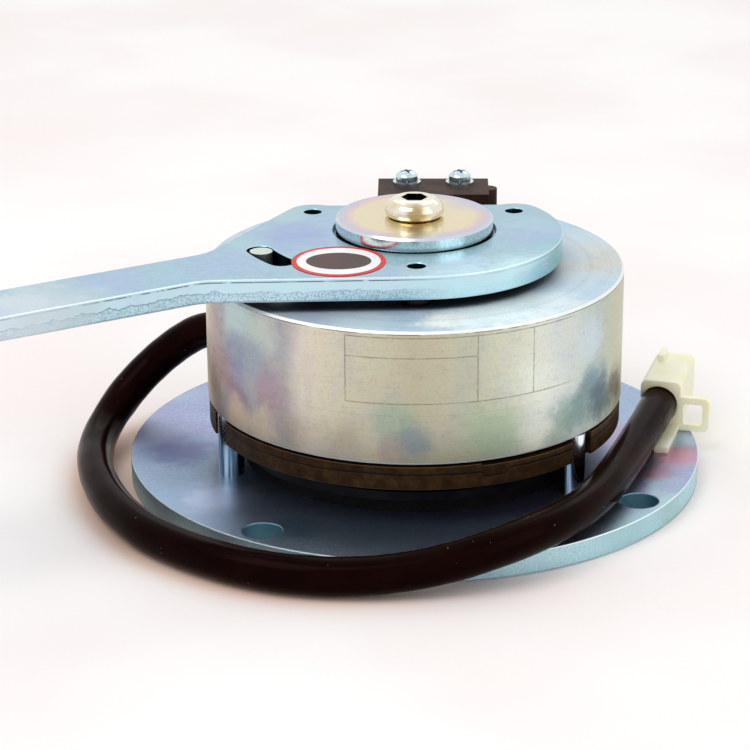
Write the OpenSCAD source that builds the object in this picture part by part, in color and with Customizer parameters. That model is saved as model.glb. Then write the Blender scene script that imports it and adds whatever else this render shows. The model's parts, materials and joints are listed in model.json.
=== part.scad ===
// Spring-applied electromagnetic brake for a small motor, with a hand release lever.
// The shaft axis is Z and the underside of the mounting flange is at Z = 0.
// Sizes are in millimetres. The brake is shown at rest, which is braked.

/* [Mounting flange] */
// Outer diameter of the flange
flange_d = 99.5; // [99:0.5:112]
// Thickness of the flange
flange_t = 4; // [3.5:0.5:6]
// Hole in the flange that the drive hub stands in
flange_bore_d = 22; // [20:0.5:26]
// Circle that the mounting holes lie on
mount_circle_d = 90.6; // [86:0.2:91]
// Diameter of a mounting hole
mount_hole_d = 6.6; // [4.5:0.1:7]
// Direction midway between the two near mounting holes, in degrees
mount_mid_a = -78.5; // [-90:0.5:-70]
// Angle between the two near mounting holes; the third lies opposite them
mount_spread_a = 89.4; // [80:0.2:100]

/* [Spacer posts and their screws] */
// Diameter of a spacer post
post_d = 4.4; // [4.2:0.1:5]
// Distance from the magnet's outer face in to the middle of a post
post_inset = 2.2; // [2.2:0.1:2.8]
// Direction of the first post, in degrees
post_a = 202; // [198:1:206]
// Thread diameter of the countersunk screws in the posts
post_screw_d = 3; // [2.5:0.5:3]
// Head diameter of those screws
post_screw_head_d = 5.5; // [5:0.1:6]
// How far those screws reach into the magnet body
post_screw_grip = 8; // [5:0.5:12]

/* [Friction disc] */
// How far a lining stays inside the carrier's rim
lining_inset = 1; // [0.5:0.1:3]
// Inner diameter of the friction linings
lining_bore_d = 36; // [30:0.5:40]
// Thickness of one lining
lining_t = 2.3; // [1.8:0.1:3]
// Room between the carrier's rim and the spacer posts
carrier_room = 0.6; // [0.4:0.1:1.2]
// Thickness of the carrier
carrier_t = 1.6; // [1.2:0.1:2]
// Play left on each side of the friction disc while it is clamped
clamp_play = 0.05; // [0.03:0.01:0.08]

/* [Drive hub] */
// Diameter over the hub's teeth
hub_d = 18.6; // [17.6:0.2:19.6]
// Height of the hub's teeth
tooth_h = 1.1; // [0.8:0.1:1.4]
// Number of teeth on the hub
teeth = 14; // [10:1:18]
// Bore for the motor shaft
shaft_d = 10; // [8:0.5:11]
// Width of the keyway
key_w = 3; // [2:0.5:4]
// Depth of the keyway beyond the bore
key_h = 1.4; // [1:0.1:1.8]
// Height of the hub's lower end above the flange's underside
hub_foot = 0; // [0:0.1:1.5]
// Room between the hub's top and the armature plate
hub_head_gap = 0.7; // [0.6:0.1:1.5]

/* [Armature plate] */
// How far the armature plate's rim stays inside the magnet's
armature_inset = 0.2; // [0:0.1:0.8]
// Thickness of the armature plate
armature_t = 4; // [3.5:0.5:6]
// Air gap to the magnet while braked
air_gap = 0.45; // [0.41:0.01:0.6]
// Clearance of the armature's notches round the posts
notch_gap = 0.4; // [0.3:0.05:0.6]
// Depth of the shallow step pressed in the armature's rim
step_h = 0.35; // [0.2:0.05:0.6]

/* [Magnet body] */
// Outer diameter of the magnet body
magnet_d = 72; // [72:0.2:76]
// Height of the magnet body
magnet_h = 23; // [22:0.5:28]
// Bevel of its turned edges
magnet_edge = 0.4; // [0.2:0.1:0.8]
// Thickness of the magnet's outer wall
magnet_wall = 5.4; // [5:0.1:5.8]
// Thickness of the magnet's closed end
magnet_cap = 6; // [5:0.5:7]
// Diameter of the inner pole
pole_d = 38; // [37:0.5:40]
// Bore that the pull bolt runs in
magnet_bore_d = 7; // [6.6:0.1:8]

/* [Coil] */
// Room between the bobbin and the magnet's walls
coil_gap = 0.2; // [0.1:0.05:0.3]
// Wall of the bobbin
bobbin_wall = 1; // [0.8:0.1:1.5]
// Depth of the bobbin's open side left unwound
winding_free = 0.9; // [0.5:0.1:1.5]
// Diameter of a coil lead over its insulation
lead_d = 1.7; // [1.2:0.1:1.8]

/* [Torque springs] */
// Outer diameter of a torque spring
spring_d = 5; // [4.5:0.1:5.2]
// Wire diameter of the torque springs
spring_wire = 0.9; // [0.7:0.1:1]
// Circle that the springs stand on
spring_circle_d = 25; // [22:0.5:27]
// Depth of the spring pockets in the inner pole
pocket_h = 12; // [10:0.5:14]
// Turns of a torque spring
spring_turns = 6; // [5:0.5:7]

/* [Release lever] */
// Thickness of the lever
lever_t = 4; // [3:0.25:4.5]
// Gap between the magnet's top and the lever's underside
lever_gap = 2.05; // [1.95:0.05:2.4]
// Radius of the lever's round head
head_r = 25.2; // [25:0.1:26.5]
// Distance of the head's middle from the axis, toward the front and toward the handle
head_off = 0.8; // [0:0.1:1]
// Distance from the axis to the lever's far end
lever_reach = 115; // [80:1:140]
// Width of the handle
handle_w = 12.4; // [10:0.2:15]
// Direction of the handle at rest, in degrees
handle_a = 211; // [208:1:212]
// Angle from the handle to the point where the front shoulder leaves the head
front_shoulder_a = 62; // [58:1:66]
// Angle from the handle to the point where the rear shoulder leaves the head
rear_shoulder_a = 58; // [54:1:60]
// Fillet where a shoulder meets the handle
shoulder_fillet = 8; // [4:1:14]
// Radius of the two rear lobes
rear_corner = 4.5; // [4.2:0.1:5]
// How far the lobes stand beyond the flat rear edge between them
rear_step = 0.7; // [0.3:0.1:1.2]
// Angle from the middle of the rear edge to each lobe
rear_corner_a = 58.4; // [57:0.2:60]
// Fillet between a lobe and the flat rear edge
rear_fillet = 3; // [2:0.5:5]
// Radius of the rim that is left round the disc at the rear
rim_r = 16.9; // [16.6:0.1:17.2]
// Turn of the lever from rest to fully released, in degrees
release_turn = 12.5; // [10:0.5:13]
// Lift of the armature when fully released
release_lift = 0.4; // [0.3:0.02:0.4]

/* [Release balls] */
// Diameter of a release ball
ball_d = 5; // [4.8:0.1:5.2]
// Circle that the balls run on
ball_circle_d = 40.6; // [40:0.2:42]
// Hole in the lever that seats a ball
ball_hole_d = 3.1; // [2.8:0.1:3.4]
// Direction of the first ball at rest, in degrees
ball_a = 31; // [28:1:34]
// Room between a ball and its ramp
ramp_gap = 0.25; // [0.2:0.05:0.35]
// Extra radius of the round pocket at each end of a ramp
ramp_end = 0.04; // [0.02:0.01:0.08]

/* [Stop pin and slot] */
// Diameter of the stop pin
stop_pin_d = 3.8; // [3.4:0.1:4]
// Radius from the axis to the stop pin
stop_pin_r = 28.5; // [28:0.1:29]
// Direction of the stop pin, in degrees
stop_pin_a = 206; // [205:0.5:207]
// Width of the slot round the stop pin
slot_w = 4.4; // [4.3:0.1:5]
// Depth of the stop pin in the magnet
stop_pin_grip = 4; // [3:0.5:5]
// Spare turn at each end of the slot, in degrees
slot_spare = 1.2; // [0.8:0.1:2]

/* [Pull disc and bolt] */
// Diameter of the pull disc on the lever
disc_d = 27; // [25:0.2:27.4]
// Thickness of the pull disc
disc_t = 3.5; // [3:0.1:5]
// Diameter of the sunk seat of the disc in the lever
seat_d = 28; // [27.8:0.1:28.6]
// Depth of that seat
seat_h = 1.2; // [0.8:0.1:1.6]
// Bevel of the disc's top edge
disc_edge = 0.4; // [0.2:0.1:0.8]
// Shank diameter of the pull bolt
bolt_d = 6; // [5.5:0.1:6.2]
// Head diameter of the pull bolt
bolt_head_d = 10.2; // [9:0.1:12]
// Head height of the pull bolt
bolt_head_h = 3.3; // [2.6:0.1:4]
// Rounding of the head's lower edge
bolt_foot = 1; // [0.4:0.1:1.2]
// Socket of the pull bolt across its flats
bolt_socket = 4; // [3:0.5:5]

/* [Release switch] */
// Length of the switch
switch_l = 19.8; // [18:0.2:21]
// Depth of the switch from its plunger side to its terminal side
switch_w = 10.2; // [9.6:0.1:11]
// Height of the switch
switch_t = 6.4; // [6:0.1:7]
// Height of its cover
switch_cover_t = 1.6; // [1.2:0.1:2]
// Distance between its two screw holes
switch_pitch = 9.5; // [9:0.1:10]
// Distance from its screw holes to the terminal side
switch_hole_y = 2.9; // [2.4:0.1:3.4]
// Radius of the locating lug at its right end
switch_lug_r = 1.5; // [1.2:0.1:1.8]
// Distance from the line of its screw holes to the lug
switch_lug_y = 3; // [2.6:0.1:3.4]
// Distance between two solder terminals
terminal_pitch = 7.4; // [6.8:0.1:7.6]
// Length of a solder terminal
terminal_l = 3.6; // [3:0.1:4.2]
// Width of a solder terminal
terminal_w = 1.8; // [1.5:0.1:2.2]
// Distance from the plunger to the middle of the switch, along its length
plunger_off = 3.4; // [2.5:0.1:4]
// Diameter of the plunger
plunger_d = 1.8; // [1.6:0.1:2]
// Length of the plunger outside the switch at rest
plunger_out = 1.9; // [1.6:0.1:2.2]
// Travel of the plunger when the lever is fully turned
plunger_travel = 0.85; // [0.6:0.05:0.9]
// Thread diameter of the switch screws
switch_screw_d = 2; // [1.6:0.1:2.2]
// Reach of the switch screws into the magnet
switch_screw_grip = 4; // [3:0.5:4.5]

/* [Cable and its grommet] */
// Outside diameter of the cable sleeve
cable_d = 6.5; // [5.8:0.1:6.6]
// Direction of the cable's exit, in degrees
cable_exit_a = 157; // [156:0.5:158]
// Height of the cable's exit above the magnet's lower face
cable_exit_h = 5.45; // [5.2:0.05:5.7]
// Diameter of the grommet in the magnet's wall
grommet_d = 7.6; // [7:0.1:8]
// Diameter of the grommet's collar
grommet_collar_d = 9; // [8.6:0.1:9.6]
// Reach of the collar outside the wall
grommet_out = 1.8; // [1.5:0.1:1.9]

/* [Connector] */
// Length of the connector housing
conn_l = 14; // [12:0.5:16]
// Width of the connector housing
conn_w = 7.2; // [6.8:0.1:7.8]
// Height of the connector housing
conn_h = 9; // [8.6:0.1:9.6]
// Thickness of its thin walls and ribs
conn_wall = 1.2; // [1:0.1:1.3]
// Reach of the latch ear beside the housing
ear_reach = 5.2; // [4:0.1:6]
// Height of the latch ear
ear_h = 6.3; // [5.5:0.1:7]
// Rounding of the housing's long edges and of the ear's corners
conn_round = 1.2; // [0.4:0.1:1.6]
// Length of the guide arm along the cable
arm_l = 11.5; // [8:0.5:14]
// Width of the guide arm
arm_w = 2.4; // [1.5:0.1:2.6]
// Depth of the cable's socket in the housing
conn_socket_h = 1; // [0.6:0.1:1.4]

/* [Clearances] */
// Radial clearance of a piece that turns or slides in another
running_gap = 0.08; // [0.05:0.01:0.1]
// Radial clearance of a threaded or pressed piece in its hole
thread_gap = 0.02; // [0.01:0.01:0.04]
// Gap between two faces that rest on each other but move apart
face_gap = 0.05; // [0.03:0.01:0.08]

/* [Hidden] */
$fn = 96;

// Overrun of a cut past the face that it opens
over = 0.5;

// Heights of the stack, from the flange up
rotor_t = 2 * lining_t + carrier_t;
armature_z = flange_t + rotor_t + 2 * clamp_play;
armature_top = armature_z + armature_t;
magnet_z = armature_top + air_gap;
magnet_top = magnet_z + magnet_h;
lever_z = magnet_top + lever_gap;
lever_top = lever_z + lever_t;
disc_z = lever_top - seat_h + face_gap;
disc_top = disc_z + disc_t;
lining_z = flange_t + clamp_play;
carrier_z = lining_z + lining_t;
coil_top = magnet_z + magnet_h - magnet_cap;

// Radii
mount_r = mount_circle_d / 2;
post_r = magnet_d / 2 - post_inset;
armature_r = magnet_d / 2 - armature_inset;
carrier_r = post_r - post_d / 2 - carrier_room;
lining_r = carrier_r - lining_inset;
ball_r = ball_d / 2;
ball_run_r = ball_circle_d / 2;
spring_run_r = spring_circle_d / 2;
hub_r = hub_d / 2;
lobe_r = head_r - rear_corner;

function dir(a) = [cos(a), sin(a)];
function polar(r, a, z = 0) = [r * cos(a), r * sin(a), z];
function arc(c, r, a0, a1, n) = [for (i = [0:n]) c + r * dir(a0 + (a1 - a0) * i / n)];
function unit(v) = v / norm(v);

// Cap of a sphere that is base_r wide at height e and top_r wide at height h
function cap_z(base_r, e, top_r, h) = (top_r * top_r + h * h - base_r * base_r - e * e) / (2 * (h - e));

module screw_cap(base_r, e, top_r, h) {
    z = cap_z(base_r, e, top_r, h);
    intersection() {
        translate([0, 0, z]) sphere(r = norm([base_r, e - z]));
        cylinder(r = base_r, h = h);
    }
}

// A ring that stands on Z = 0
module ring(outer_d, inner_d, h) {
    difference() {
        cylinder(d = outer_d, h = h);
        translate([0, 0, -over]) cylinder(d = inner_d, h = h + 2 * over);
    }
}

// Directions of the three mounting holes
mount_angles = [
    mount_mid_a + mount_spread_a / 2,
    mount_mid_a - mount_spread_a / 2,
    mount_mid_a + 180
];

// Places of the posts, the balls and the springs
function post_at(i, z) = polar(post_r, post_a + 120 * i, z);
function ball_at(i, z) = polar(ball_run_r, ball_a + 120 * i, z);
function spring_at(i, z) = polar(spring_run_r, 60 * i, z);

// Hexagon sockets of the post screws: width as a share of the head, and depth
post_socket = 0.42;
post_socket_h = 1.2;
// Countersink of a post screw, measured up from the flange's underside
sink_h = (post_screw_head_d - post_screw_d) / 2 + running_gap;
post_hole_d = post_screw_d + 2 * running_gap;

module mounting_flange() {
    color("#a9bcd3")
    difference() {
        cylinder(d = flange_d, h = flange_t, $fn = 180);
        translate([0, 0, -over]) cylinder(d = flange_bore_d, h = flange_t + 2 * over);
        for (a = mount_angles)
            translate(polar(mount_r, a, -over)) cylinder(d = mount_hole_d, h = flange_t + 2 * over);
        for (i = [0:2])
            translate(post_at(i, 0)) {
                translate([0, 0, -over]) cylinder(d = post_hole_d, h = flange_t + 2 * over);
                translate([0, 0, -0.01])
                    cylinder(d1 = post_screw_head_d + 2 * running_gap + 0.02, d2 = post_hole_d, h = sink_h);
            }
    }
}

module spacer_post(i) {
    color("#d6d8dc")
    translate(post_at(i, flange_t)) ring(post_d, post_hole_d, magnet_z - flange_t);
}

module post_screws() {
    length = magnet_z + post_screw_grip;
    cone_h = (post_screw_head_d - post_screw_d) / 2;
    color("#8e9095")
    for (i = [0:2])
        translate(post_at(i, 0))
        difference() {
            union() {
                cylinder(d = post_screw_d, h = length);
                cylinder(d1 = post_screw_head_d, d2 = post_screw_d, h = cone_h);
            }
            translate([0, 0, -over])
                cylinder(d = post_screw_head_d * post_socket, h = over + post_socket_h, $fn = 6);
        }
}

// Outline of the hub's teeth, grown by a clearance for the disc that slides on them
module toothed(grow) {
    pitch = 360 / teeth;
    turn = grow * 90 / hub_r / PI * 1.4;
    root = hub_r - tooth_h + grow;
    tip = hub_r + grow;
    polygon([
        for (i = [0:teeth - 1])
            for (p = [[root, -0.3], [tip, -0.2], [tip, 0.2], [root, 0.3]])
                p[0] * dir(i * pitch + p[1] * pitch + sign(p[1]) * turn)
    ]);
}

module drive_hub() {
    height = armature_z - hub_head_gap - hub_foot;
    color("#7d8084")
    translate([0, 0, hub_foot])
    difference() {
        linear_extrude(height) toothed(0);
        translate([0, 0, -over]) cylinder(d = shaft_d, h = height + 2 * over);
        translate([0, -key_w / 2, -over]) cube([shaft_d / 2 + key_h, key_w, height + 2 * over]);
    }
}

module friction_carrier() {
    color("#5a5d60")
    translate([0, 0, carrier_z])
    difference() {
        cylinder(r = carrier_r, h = carrier_t);
        translate([0, 0, -over]) linear_extrude(carrier_t + 2 * over) toothed(running_gap);
    }
}

module lining(z) {
    color("#1d1c1b")
    translate([0, 0, z]) ring(2 * lining_r, lining_bore_d, lining_t);
}

module armature_plate() {
    notch_r = post_d / 2 + notch_gap;
    color("#5b4032")
    difference() {
        translate([0, 0, armature_z]) cylinder(r = armature_r, h = armature_t, $fn = 180);
        translate([0, 0, armature_z - over])
            cylinder(d = bolt_d + 2 * thread_gap, h = armature_t + 2 * over);
        for (i = [0:2])
            rotate([0, 0, post_a + 120 * i])
            translate([post_r, 0, armature_z - over]) {
                cylinder(r = notch_r, h = armature_t + 2 * over);
                translate([0, -notch_r, 0])
                    cube([notch_r + magnet_d / 2, 2 * notch_r, armature_t + 2 * over]);
            }
        armature_step();
    }
}

// Shallow step pressed in the rim between the front and the right post
module armature_step() {
    step_from = -72;
    step_to = post_a + 120 - 360;
    translate([0, 0, armature_top - step_h])
    rotate([0, 0, step_from])
    rotate_extrude(angle = step_to - step_from)
    translate([armature_r - magnet_wall, 0]) square([magnet_wall + over, step_h + over]);
}

// Depth of a blind threaded hole past the end of its screw
hole_spare = 0.6;

// Section of the magnet: outer wall, closed end and inner pole round the coil
module magnet_section() {
    wall_in = magnet_d / 2 - magnet_wall;
    outer = magnet_d / 2;
    e = magnet_edge;
    polygon([
        [magnet_bore_d / 2, 0], [pole_d / 2, 0], [pole_d / 2, magnet_h - magnet_cap],
        [wall_in, magnet_h - magnet_cap], [wall_in, 0],
        [outer - e, 0], [outer, e], [outer, magnet_h - e], [outer - e, magnet_h],
        [magnet_bore_d / 2, magnet_h]
    ]);
}

// Height of a ball's centre below the lever, which it meets at the edge of its hole
ball_drop = sqrt(pow(ball_r + face_gap, 2) - pow(ball_hole_d / 2, 2));
ball_z = lever_z - ball_drop;

// Ramp that a ball climbs as the lever turns: a straight round groove along the ball's chord
module ball_ramp(i) {
    groove_r = ball_r + ramp_gap;
    bulge = ball_run_r * (1 - cos(release_turn / 2)) / 2;
    shift = bulge * dir(ball_a + 120 * i - release_turn / 2);
    start = ball_at(i, ball_z) + [shift[0], shift[1], 0];
    end = polar(ball_run_r, ball_a + 120 * i - release_turn, ball_z + release_lift) + [shift[0], shift[1], 0];
    run = end - start;
    translate(start) {
        sphere(r = groove_r + ramp_end);
        rotate([0, 90 - asin(run[2] / norm(run)), atan2(run[1], run[0])])
            cylinder(r = groove_r, h = norm(run));
    }
    translate(end) sphere(r = groove_r + ramp_end);
}

// Switch places: its plunger lies on the Y axis, against the lever's rear rim
plunger_tip_y = rim_r + face_gap + 0.01;
switch_y = plunger_tip_y + plunger_out;
switch_hole_line = switch_y + switch_w - switch_hole_y;
switch_mid_x = plunger_off;
function switch_hole_at(i, z) = [switch_mid_x + (i - 0.5) * switch_pitch, switch_hole_line, z];

// The cable leaves level, along its own direction
cable_exit_z = magnet_z + cable_exit_h;
module along_exit(r) {
    rotate([0, 0, cable_exit_a]) translate([r, 0, cable_exit_z]) rotate([0, 90, 0]) children();
}

module magnet_body() {
    pocket_r = spring_d / 2 + ramp_gap;
    color("#d9d2c2")
    difference() {
        translate([0, 0, magnet_z]) rotate_extrude($fn = 180) magnet_section();
        for (i = [0:5])
            translate(spring_at(i, magnet_z - over)) cylinder(r = pocket_r, h = pocket_h + over);
        for (i = [0:2]) {
            translate(post_at(i, magnet_z - over))
                cylinder(d = post_screw_d + 2 * thread_gap, h = post_screw_grip + hole_spare + over);
            ball_ramp(i);
        }
        for (i = [0:1])
            translate(switch_hole_at(i, magnet_top - switch_screw_grip - hole_spare))
                cylinder(d = switch_screw_d + 2 * thread_gap, h = switch_screw_grip + hole_spare + over);
        translate(polar(stop_pin_r, stop_pin_a, magnet_top - stop_pin_grip))
            cylinder(d = stop_pin_d + 2 * thread_gap, h = stop_pin_grip + over);
        along_exit(magnet_d / 2 - magnet_wall - over)
            cylinder(d = grommet_d + 2 * thread_gap, h = magnet_wall + 2 * over);
    }
}

// Bobbin: a reel with its open side outward
module coil_bobbin() {
    inner = pole_d / 2 + coil_gap;
    outer = magnet_d / 2 - magnet_wall - coil_gap;
    low = magnet_z + coil_gap;
    high = coil_top - face_gap;
    color("#cfc9b8")
    rotate_extrude()
    polygon([
        [inner, low], [outer, low], [outer, low + bobbin_wall],
        [inner + bobbin_wall, low + bobbin_wall], [inner + bobbin_wall, high - bobbin_wall],
        [outer, high - bobbin_wall], [outer, high], [inner, high]
    ]);
}

module coil_winding() {
    inner = pole_d / 2 + coil_gap + bobbin_wall + face_gap;
    low = magnet_z + coil_gap + bobbin_wall + face_gap;
    high = coil_top - 2 * face_gap - bobbin_wall;
    color("#a4562c")
    translate([0, 0, low]) ring(2 * winding_r, 2 * inner, high - low);
}

winding_r = magnet_d / 2 - magnet_wall - coil_gap - winding_free;

module coil_leads() {
    color("#b23a30")
    for (s = [-1, 1])
        rotate([0, 0, cable_exit_a])
        translate([winding_r + face_gap, s * (lead_d / 2 + face_gap), cable_exit_z])
        rotate([0, 90, 0])
        cylinder(d = lead_d, h = magnet_d / 2 + grommet_out - winding_r - face_gap, $fn = 24);
}

// Sweeps a round section along a list of points; the end faces are square to the end directions
function path_way(p, i, way_in, way_out) =
    i == 0 ? way_in : i == len(p) - 1 ? way_out : unit(unit(p[i + 1] - p[i]) + unit(p[i] - p[i - 1]));

module tube_along(p, r, sides, way_in, way_out) {
    rings = [
        for (i = [0:len(p) - 1])
            let (t = path_way(p, i, way_in, way_out), s = unit(cross(t, [0, 0, 1])), u = cross(s, t))
                for (k = [0:sides - 1]) p[i] + r * (cos(360 * k / sides) * s + sin(360 * k / sides) * u)
    ];
    last = (len(p) - 1) * sides;
    skin = [
        for (i = [0:len(p) - 2])
            for (k = [0:sides - 1])
                let (n = (k + 1) % sides)
                    [i * sides + k, i * sides + n, (i + 1) * sides + n, (i + 1) * sides + k]
    ];
    first_cap = [for (k = [0:sides - 1]) sides - 1 - k];
    last_cap = [for (k = [0:sides - 1]) last + k];
    polyhedron(points = rings, faces = concat([first_cap], skin, [last_cap]));
}

// Torque spring from the armature's top to the end of its pocket
spring_seat_z = magnet_z + pocket_h;
spring_sides = 6;
spring_steps = 12;
module torque_spring(i) {
    coil_r = (spring_d - spring_wire) / 2;
    low = armature_top + spring_wire / 2 + face_gap;
    high = spring_seat_z - spring_wire / 2 - face_gap;
    // The first and the last turn lie flat, as ground ends do
    rise = spring_turns - 2;
    steps = round(spring_turns * spring_steps);
    path = [
        for (k = [0:steps])
            let (t = k / spring_steps, h = max(0, min(rise, t - 1)) / rise)
                polar(coil_r, 360 * t, low + spring_wire * min(1, t) + (high - low - 2 * spring_wire) * h
                    + spring_wire * max(0, t - spring_turns + 1))
    ];
    color("#9a9da2")
    translate(spring_at(i, 0))
    tube_along(path, spring_wire / 2, spring_sides, [0, 1, 0],
        unit([-sin(360 * spring_turns), cos(360 * spring_turns), 0]));
}

// Radius of the lever's rear rim at an angle from the handle's opposite direction
lever_turn_a = handle_a - 180;
cam_from = 90 - lever_turn_a;
function rim_at(a) = rim_r + plunger_travel * max(0, min(1, (a - cam_from) / release_turn));

// Outline of the lever, with the handle along -X; the flat rear edge faces 60 degrees
rear = 60;
head_c = head_off * [-0.4, -1];
rear_flat = head_c * dir(rear) + lobe_r * cos(rear_corner_a) + rear_corner - rear_step;

// Middle of a rear lobe, and how far its fillet to the flat edge leans over; side is -1 or 1
function lobe_at(side) = head_c + lobe_r * dir(rear + side * rear_corner_a);
function lobe_lean(side) =
    asin((rear_flat + rear_fillet - lobe_at(side) * dir(rear)) / (rear_corner + rear_fillet));

// Fillet between the shoulder and the handle's edge on the side that y points to
function kink(a, y) =
    let (x = head_c[0] - (head_r - (abs(y) - sign(y) * head_c[1]) * sin(a)) / cos(a))
        arc([x - shoulder_fillet * tan(45 - a / 2), sign(y) * (abs(y) + shoulder_fillet)],
            shoulder_fillet, -sign(y) * a, -sign(y) * 90, 6);

module lever_outline() {
    half = handle_w / 2;
    rim_low = rear - acos(rear_flat / rim_r);
    rim_high = rear + acos(rear_flat / (rim_r + plunger_travel));
    front_kink = kink(front_shoulder_a, -half);
    right_from = rear + 90 - lobe_lean(-1);
    left_from = rear - 90 + lobe_lean(1);
    right_fillet = lobe_at(-1) + (rear_corner + rear_fillet) * dir(right_from);
    left_fillet = lobe_at(1) + (rear_corner + rear_fillet) * dir(left_from);
    polygon(concat(
        arc([half - lever_reach, 0], half, 90, 270, 24),
        [for (k = [len(front_kink) - 1:-1:0]) front_kink[k]],
        arc(head_c, head_r, 180 + front_shoulder_a, 360 + rear - rear_corner_a, 60),
        arc(lobe_at(-1), rear_corner, rear - rear_corner_a, right_from, 14),
        arc(right_fillet, rear_fillet, right_from + 180, rear + 180, 5),
        [for (k = [0:40]) let (a = rim_low + (rim_high - rim_low) * k / 40) rim_at(a) * dir(a)],
        arc(left_fillet, rear_fillet, rear + 180, left_from + 180, 5),
        arc(lobe_at(1), rear_corner, left_from, rear + rear_corner_a, 14),
        arc(head_c, head_r, rear + rear_corner_a, 180 - rear_shoulder_a, 2),
        kink(rear_shoulder_a, half)
    ));
}

// Curved slot with round ends
module arc_slot(r, w, a0, a1) {
    polygon(concat(
        arc([0, 0], r + w / 2, a0, a1, 12),
        arc(r * dir(a1), w / 2, a1, a1 + 180, 12),
        arc([0, 0], r - w / 2, a1, a0, 12),
        arc(r * dir(a0), w / 2, a0 + 180, a0 + 360, 12)
    ));
}

module release_lever() {
    color("#b4c3d6")
    difference() {
        translate([0, 0, lever_z]) rotate([0, 0, lever_turn_a]) linear_extrude(lever_t) lever_outline();
        translate([0, 0, lever_top - seat_h]) cylinder(d = seat_d, h = seat_h + over);
        translate([0, 0, lever_z - over]) cylinder(d = bolt_d + 2 * running_gap, h = lever_t + over);
        for (i = [0:2])
            translate(ball_at(i, lever_z - over)) cylinder(d = ball_hole_d, h = lever_t + 2 * over);
        translate([0, 0, lever_z - over]) linear_extrude(lever_t + 2 * over)
            arc_slot(stop_pin_r, slot_w, stop_pin_a - slot_spare, stop_pin_a + release_turn + slot_spare);
    }
}

module release_ball(i) {
    color("#c9ccd0")
    translate(ball_at(i, ball_z)) sphere(d = ball_d);
}

module pull_disc() {
    color("#d8c487")
    translate([0, 0, disc_z])
    difference() {
        union() {
            cylinder(d = disc_d, h = disc_t - disc_edge);
            translate([0, 0, disc_t - disc_edge])
                cylinder(d1 = disc_d, d2 = disc_d - 2 * disc_edge, h = disc_edge);
        }
        translate([0, 0, -over]) cylinder(d = bolt_d + 2 * running_gap, h = disc_t + 2 * over);
    }
}

// Radius of the flat ring round the socket, as a share of the head's diameter
bolt_top = 0.27;
bolt_socket_h = 2.2;
// Play under the bolt's tip
bolt_tip_gap = 1;

// Button head: a rounded lower edge, then a dome up to a flat ring round the socket
module bolt_head() {
    outer = bolt_head_d / 2;
    top = bolt_head_d * bolt_top;
    foot = arc([outer - bolt_foot, bolt_foot], bolt_foot, -90, 0, 3);
    dome = [
        for (t = [15:15:90])
            [top + (outer - top) * cos(t), bolt_foot + (bolt_head_h - bolt_foot) * sin(t)]
    ];
    rotate_extrude() polygon(concat([[0, 0]], foot, dome, [[0, bolt_head_h]]));
}

module pull_bolt() {
    tip = armature_z + bolt_tip_gap;
    color("#e3c99a")
    difference() {
        union() {
            translate([0, 0, tip]) cylinder(d = bolt_d, h = disc_top - tip + bolt_head_h / 4);
            translate([0, 0, disc_top]) bolt_head();
        }
        translate([0, 0, disc_top + bolt_head_h - bolt_socket_h])
            cylinder(d = bolt_socket / cos(30), h = bolt_socket_h + over, $fn = 6);
    }
}

module stop_pin() {
    length = lever_top - magnet_top + stop_pin_grip;
    color("#dfe2e6")
    translate(polar(stop_pin_r, stop_pin_a, magnet_top - stop_pin_grip)) cylinder(d = stop_pin_d, h = length);
}

// Footprint of the switch, with the small locating lug at its right end
module switch_plan() {
    difference() {
        union() {
            translate([switch_mid_x - switch_l / 2, switch_y]) square([switch_l, switch_w]);
            translate([switch_mid_x + switch_l / 2, switch_hole_line - switch_lug_y])
                circle(r = switch_lug_r, $fn = 48);
        }
        for (i = [0:1])
            translate([switch_hole_at(i, 0)[0], switch_hole_line])
                circle(d = switch_screw_d + 2 * running_gap, $fn = 48);
    }
}

switch_case_t = switch_t - switch_cover_t;
plunger_z = magnet_top + switch_t / 2;
plunger_stem = 4;

module switch_case() {
    color("#26211f")
    difference() {
        translate([0, 0, magnet_top]) linear_extrude(switch_case_t) switch_plan();
        translate([0, switch_y - over, plunger_z]) rotate([-90, 0, 0])
            cylinder(d = plunger_d + 2 * running_gap, h = plunger_stem + 2 * plunger_travel + over, $fn = 48);
    }
}

module switch_cover() {
    color("#2d2725")
    translate([0, 0, magnet_top + switch_case_t]) linear_extrude(switch_cover_t) switch_plan();
}

module switch_plunger() {
    tip_r = plunger_d / 2;
    color("#b8472e")
    translate([0, plunger_tip_y + tip_r, plunger_z]) {
        sphere(r = tip_r, $fn = 48);
        rotate([-90, 0, 0]) cylinder(r = tip_r, h = plunger_out + plunger_stem - tip_r, $fn = 48);
    }
}

// Three flat solder terminals behind the switch, each with its wire hole
module switch_terminals() {
    blade_t = 0.5;
    color("#c8b48c")
    for (i = [-1:1])
        translate([switch_mid_x + i * terminal_pitch, switch_y + switch_w, magnet_top + switch_t / 3])
        difference() {
            translate([-terminal_w / 2, 0, 0]) cube([terminal_w, terminal_l, blade_t]);
            translate([0, terminal_l * 0.62, -over])
                cylinder(d = terminal_w / 2, h = blade_t + 2 * over, $fn = 32);
        }
}

washer_t = 0.4;
spring_washer_t = 0.5;
switch_top = magnet_top + switch_t;

module switch_washers() {
    color("#c3c8ce")
    for (i = [0:1])
        translate(switch_hole_at(i, switch_top)) ring(2.5 * switch_screw_d, switch_screw_d + 0.2, washer_t);
}

// Split ring, with its gap toward the front
module switch_spring_washers() {
    gap_a = 16;
    color("#9a9da2")
    for (i = [0:1])
        translate(switch_hole_at(i, switch_top + washer_t))
        rotate([0, 0, gap_a / 2 - 90])
        rotate_extrude(angle = 360 - gap_a, $fn = 64)
        translate([switch_screw_d / 2 + 0.1, 0]) square([switch_screw_d * 0.42, spring_washer_t]);
}

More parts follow.
